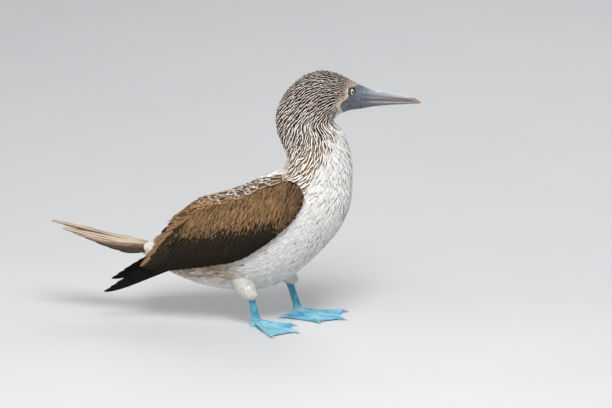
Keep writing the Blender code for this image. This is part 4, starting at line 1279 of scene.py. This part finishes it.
class BOOBY_OT_wings(bpy.types.Operator):
    """Lays the folded wings, from the long feathers to the small ones"""

    bl_idname = "booby.wings"
    bl_label = "Wings"

    def execute(self, context):
        flight, covert, rufous = colour("flight"), colour("covert"), colour("rufous")
        quills = plumage("dark_flight_feathers", 0.84, 60.0, shaft=2.2, tip_rim=0.03, fray=0.10,
                         roughness=0.65, streaks=0.35)
        smalls = plumage("brown_feathers", 0.5, 12.0, fray=0.25, roughness=0.75)
        long_ones, small_ones = Coat(), Coat()
        add_wing_plate(long_ones, flight)
        random = seeded(21)
        lay_tier(long_ones, "primaries", flight * 0.45, flight * 0.5, random, tilt=-0.25)
        lay_tier(long_ones, "secondaries", flight * 0.7, flight * 2.2, random)
        lay_tier(long_ones, "greater", flight * 0.9, flight * 3.0, random)
        lay_tier(long_ones, "median", flight * 1.2, flight * 3.6, random)
        lay_tier(long_ones, "tertials", flight * 1.8, flight * 6, random)
        lay_tier(long_ones, "rim", rufous, rufous * 0.4, random)
        self.lay_coverts(small_ones, covert, flight)
        for mirror, word in ((False, "right"), (True, "left")):
            nodes = ("wing_" + word, "primaries_" + word)
            long_ones.build("wing_quills_" + word, quills, "dark_flight_feathers", nodes, mirror)
            small_ones.build("wing_coverts_" + word, smalls, "brown_feathers", (), mirror)
        return {"FINISHED"}

    def lay_coverts(self, coat, covert, flight):
        """The wing's small feathers, light above and dark towards its front edge."""
        surface = WING_SURFACE
        random = seeded(22)

        def keep(q, spots):
            x, z = spots[:, 0], spots[:, 2]
            floor = np.maximum(look_up(WING_LOW, x) + 4, look_up(LIGHT_COVERTS, np.minimum(x, 70)) - 10)
            return (z < look_up(WING_TOP, x) - 0.5) & (z > floor) & (x < 124) & (x > 60 - 1.2 * z)

        roots = scatter(surface, (-110, -0.6), (124, 1.4), lambda q, spots: (1.7, 4.6), keep, random,
                        (-0.25, -0.97))
        spots = surface.at(roots)
        count = len(roots)
        x, z = spots[:, 0], spots[:, 2]
        slope = np.radians(look_up(COVERT_SLOPES, x)) + 0.08 * random.standard_normal(count)
        length = random.uniform(10, 16, count) * (0.55 + 0.45 * ramp(-x, -122, -100))
        length = length * (0.35 + 0.65 * ramp(z - look_up(WING_LOW, x), 4, 24))
        tips = surface.tips(roots, -np.cos(slope), -np.sin(slope), length)
        light = ramp(z - look_up(LIGHT_COVERTS, x) + 7 * random.standard_normal(count), -12, 16)
        light = light * (0.55 + 0.45 * ramp(-x, -112, -70))
        core = varied(blend(flight * 1.2, covert * 1.35, light), count, 0.35, random)
        rim = varied(blend(flight * 1.0, covert * 0.55, light), count, 0.25, random)
        width = 3.0 * random.uniform(0.8, 1.2, count)
        lifts = np.full(count, -1.2), random.uniform(0.3, 0.8, count)
        coat.lay(surface, roots, tips, HACKLE, width, lifts, core, rim, random)


class BOOBY_OT_mantle(bpy.types.Operator):
    """Lays the white-edged feathers of the back between the wings"""

    bl_idname = "booby.mantle"
    bl_label = "Back"

    def execute(self, context):
        surface = MANTLE_SURFACE
        random = seeded(31)
        coat = Coat()
        coat.add_plate(surface, q_grid(80, -100, 1.0, 40, 18), (-2.5, -6.0), colour("covert"))
        roots = scatter(surface, (-96, -1.1), (84, 1.1), lambda q, spots: (6.5, 8.0),
                        lambda q, spots: np.ones(len(q), bool), random, (-1.0, 0.0))
        count = len(roots)
        swing = 0.22 * np.clip(roots[:, 1], -1, 1) + 0.2 * random.standard_normal(count)
        length = random.uniform(17, 24, count)
        tips = surface.tips(roots, -np.cos(swing), np.sin(swing), length)
        white, covert = colour("white"), colour("covert")
        forward = ramp(roots[:, 0], -60, 30) * np.maximum(ramp(-np.abs(roots[:, 1]), -1.05, -0.75),
                                                          0.7 * ramp(roots[:, 0], 0, 40))
        core = varied(covert * 0.62, count, 0.3, random)
        pale = forward * (0.35 + 0.65 * random.random(count))
        rim = varied(blend(covert * 1.7, white * 0.85, pale), count, 0.12, random)
        patch = (roots[:, 0] > 62 + 8 * random.standard_normal(count)) & (np.abs(roots[:, 1]) < 0.42)
        core[patch], rim[patch] = white * 0.95, white
        coat.lay(surface, roots, tips, SCALE, 11.5 * random.uniform(0.8, 1.2, count),
                 (np.full(count, -2.0), random.uniform(0.5, 1.8, count)), core, rim, random)
        material = plumage("fringed_feathers", 0.66, 12.0, tip_rim=0.22, fray=0.45, roughness=0.75, soft=0.2)
        coat.build("mantle_feathers", material, "brown_feathers")
        return {"FINISHED"}


class BOOBY_OT_tail(bpy.types.Operator):
    """Lays the tail's long feathers, the middle pair on top, over a plate"""

    bl_idname = "booby.tail"
    bl_label = "Tail"

    def execute(self, context):
        surface = TAIL_SURFACE
        random = seeded(41)
        coat = Coat()
        coat.add_plate(surface, q_grid(-148, -262, 0.8, 30, 13), (-2.4, -3.6), colour("tail"))
        places = even_line(TAIL_ROOTS, TAIL_PAIRS), even_line(TAIL_TIPS, TAIL_PAIRS)
        order = np.arange(TAIL_PAIRS)
        for side in (-1, 1):
            roots, tips = (surface.q_of(p * [1, side]) for p in places)
            outer = order / (TAIL_PAIRS - 1)
            core = blend(colour("cream") * (0.72, 0.64, 0.54), colour("tail") * 0.35, ramp(outer, 0.1, 0.75))
            rim = blend(colour("tail") * 0.8, colour("flight") * 2.5, ramp(outer, 0.05, 0.6))
            lifts = 0.9 - 2.6 * outer + 0.15 * side * (order == 0)
            coat.lay(surface, roots, tips, RECTRIX, 14 - 1.5 * outer, (lifts - 0.6, lifts + 0.6), core, rim,
                     random, flip=np.full(TAIL_PAIRS, float(side)))
        material = plumage("pale_tail_feathers", 0.68, 50.0, shaft=0.6, fray=0.3, roughness=0.65, streaks=0.9)
        coat.build("tail_quills", material, "pale_tail_feathers", ("tail",))
        return {"FINISHED"}


class BOOBY_OT_stage(bpy.types.Operator):
    """Puts down the floor and the lights, and sets the camera"""

    bl_idname = "booby.stage"
    bl_label = "Stage"

    def execute(self, context):
        select_only()
        bpy.ops.mesh.primitive_plane_add(size=12)
        floor = bpy.context.object
        floor.name = "floor"
        paint = Paint("pale_floor", 0.9)
        grain = paint.noise(paint.place(), 3.0, 2.0)
        paint.put("Base Color", paint.mix(grain, (0.60, 0.60, 0.61), (0.64, 0.64, 0.64)))
        floor.data.materials.append(paint.material)
        world = bpy.data.worlds.new("studio")
        world.use_nodes = True
        world.node_tree.nodes["Background"].inputs[0].default_value = (0.94, 0.96, 1.0, 1)
        world.node_tree.nodes["Background"].inputs[1].default_value = WORLD_LIGHT
        context.scene.world = world
        middle = Vector((HOME[0] + 0.03, HOME[1], 0.22))
        for name, place, size, power in LIGHTS:
            light = bpy.data.lights.new(name, "AREA")
            light.shape, light.size, light.energy = "SQUARE", size, power
            lamp = bpy.data.objects.new(name, light)
            lamp.location = middle + Vector(place)
            lamp.rotation_euler = (-Vector(place)).to_track_quat("-Z", "Y").to_euler()
            context.scene.collection.objects.link(lamp)
        self.set_camera(context)
        view = context.scene.view_settings
        view.view_transform, view.look, view.exposure = "Standard", "None", 0.0
        return {"FINISHED"}

    def set_camera(self, context):
        """The photograph's view: 8 degrees forward of the right side and 15 degrees above level."""
        turn, rise = math.radians(8), math.radians(15)
        toward = Vector((math.sin(turn) * math.cos(rise), -math.cos(turn) * math.cos(rise), math.sin(rise)))
        right = Vector((math.cos(turn), math.sin(turn), 0))
        up = toward.cross(right)
        target = Vector(HOME) + right * 0.1163 + up * 0.1894
        lens = bpy.data.cameras.new("camera")
        lens.sensor_width, lens.lens = 36.0, 36.0 * CAMERA_DISTANCE / VIEW_WIDTH
        lens.clip_end = 3 * CAMERA_DISTANCE
        camera = bpy.data.objects.new("camera", lens)
        camera.location = target + toward * CAMERA_DISTANCE
        camera.rotation_euler = toward.to_track_quat("Z", "Y").to_euler()
        context.scene.collection.objects.link(camera)
        context.scene.camera = camera


class BOOBY_PT_panel(bpy.types.Panel):
    """Lists the bird's sizes, colours and pieces in the sidebar."""

    bl_idname = "BOOBY_PT_panel"
    bl_label = "Blue-footed Booby"
    bl_space_type = "VIEW_3D"
    bl_region_type = "UI"
    bl_category = "Booby"

    def draw(self, context):
        for group in (context.scene.booby_sizes, context.scene.booby_colours):
            for name in group.__annotations__:
                self.layout.prop(group, name)
        for step in STEPS:
            self.layout.operator(step.bl_idname)


STEPS = (
    BOOBY_OT_skin, BOOBY_OT_eyes, BOOBY_OT_bill, BOOBY_OT_feet, BOOBY_OT_coat, BOOBY_OT_wings,
    BOOBY_OT_mantle, BOOBY_OT_tail, BOOBY_OT_stage,
)


def register():
    for kind in (BoobySizes, BoobyColours, *STEPS, BOOBY_PT_panel):
        bpy.utils.register_class(kind)
    bpy.types.Scene.booby_sizes = PointerProperty(type=BoobySizes)
    bpy.types.Scene.booby_colours = PointerProperty(type=BoobyColours)


def unregister():
    del bpy.types.Scene.booby_sizes
    del bpy.types.Scene.booby_colours
    for kind in (BOOBY_PT_panel, *reversed(STEPS), BoobyColours, BoobySizes):
        bpy.utils.unregister_class(kind)


def main():
    register()
    bpy.ops.booby.skin()
    bpy.ops.booby.eyes()
    bpy.ops.booby.bill()
    bpy.ops.booby.feet()
    bpy.ops.booby.coat()
    bpy.ops.booby.wings()
    bpy.ops.booby.mantle()
    bpy.ops.booby.tail()
    bpy.ops.booby.stage()


if __name__ == "__main__":
    main()
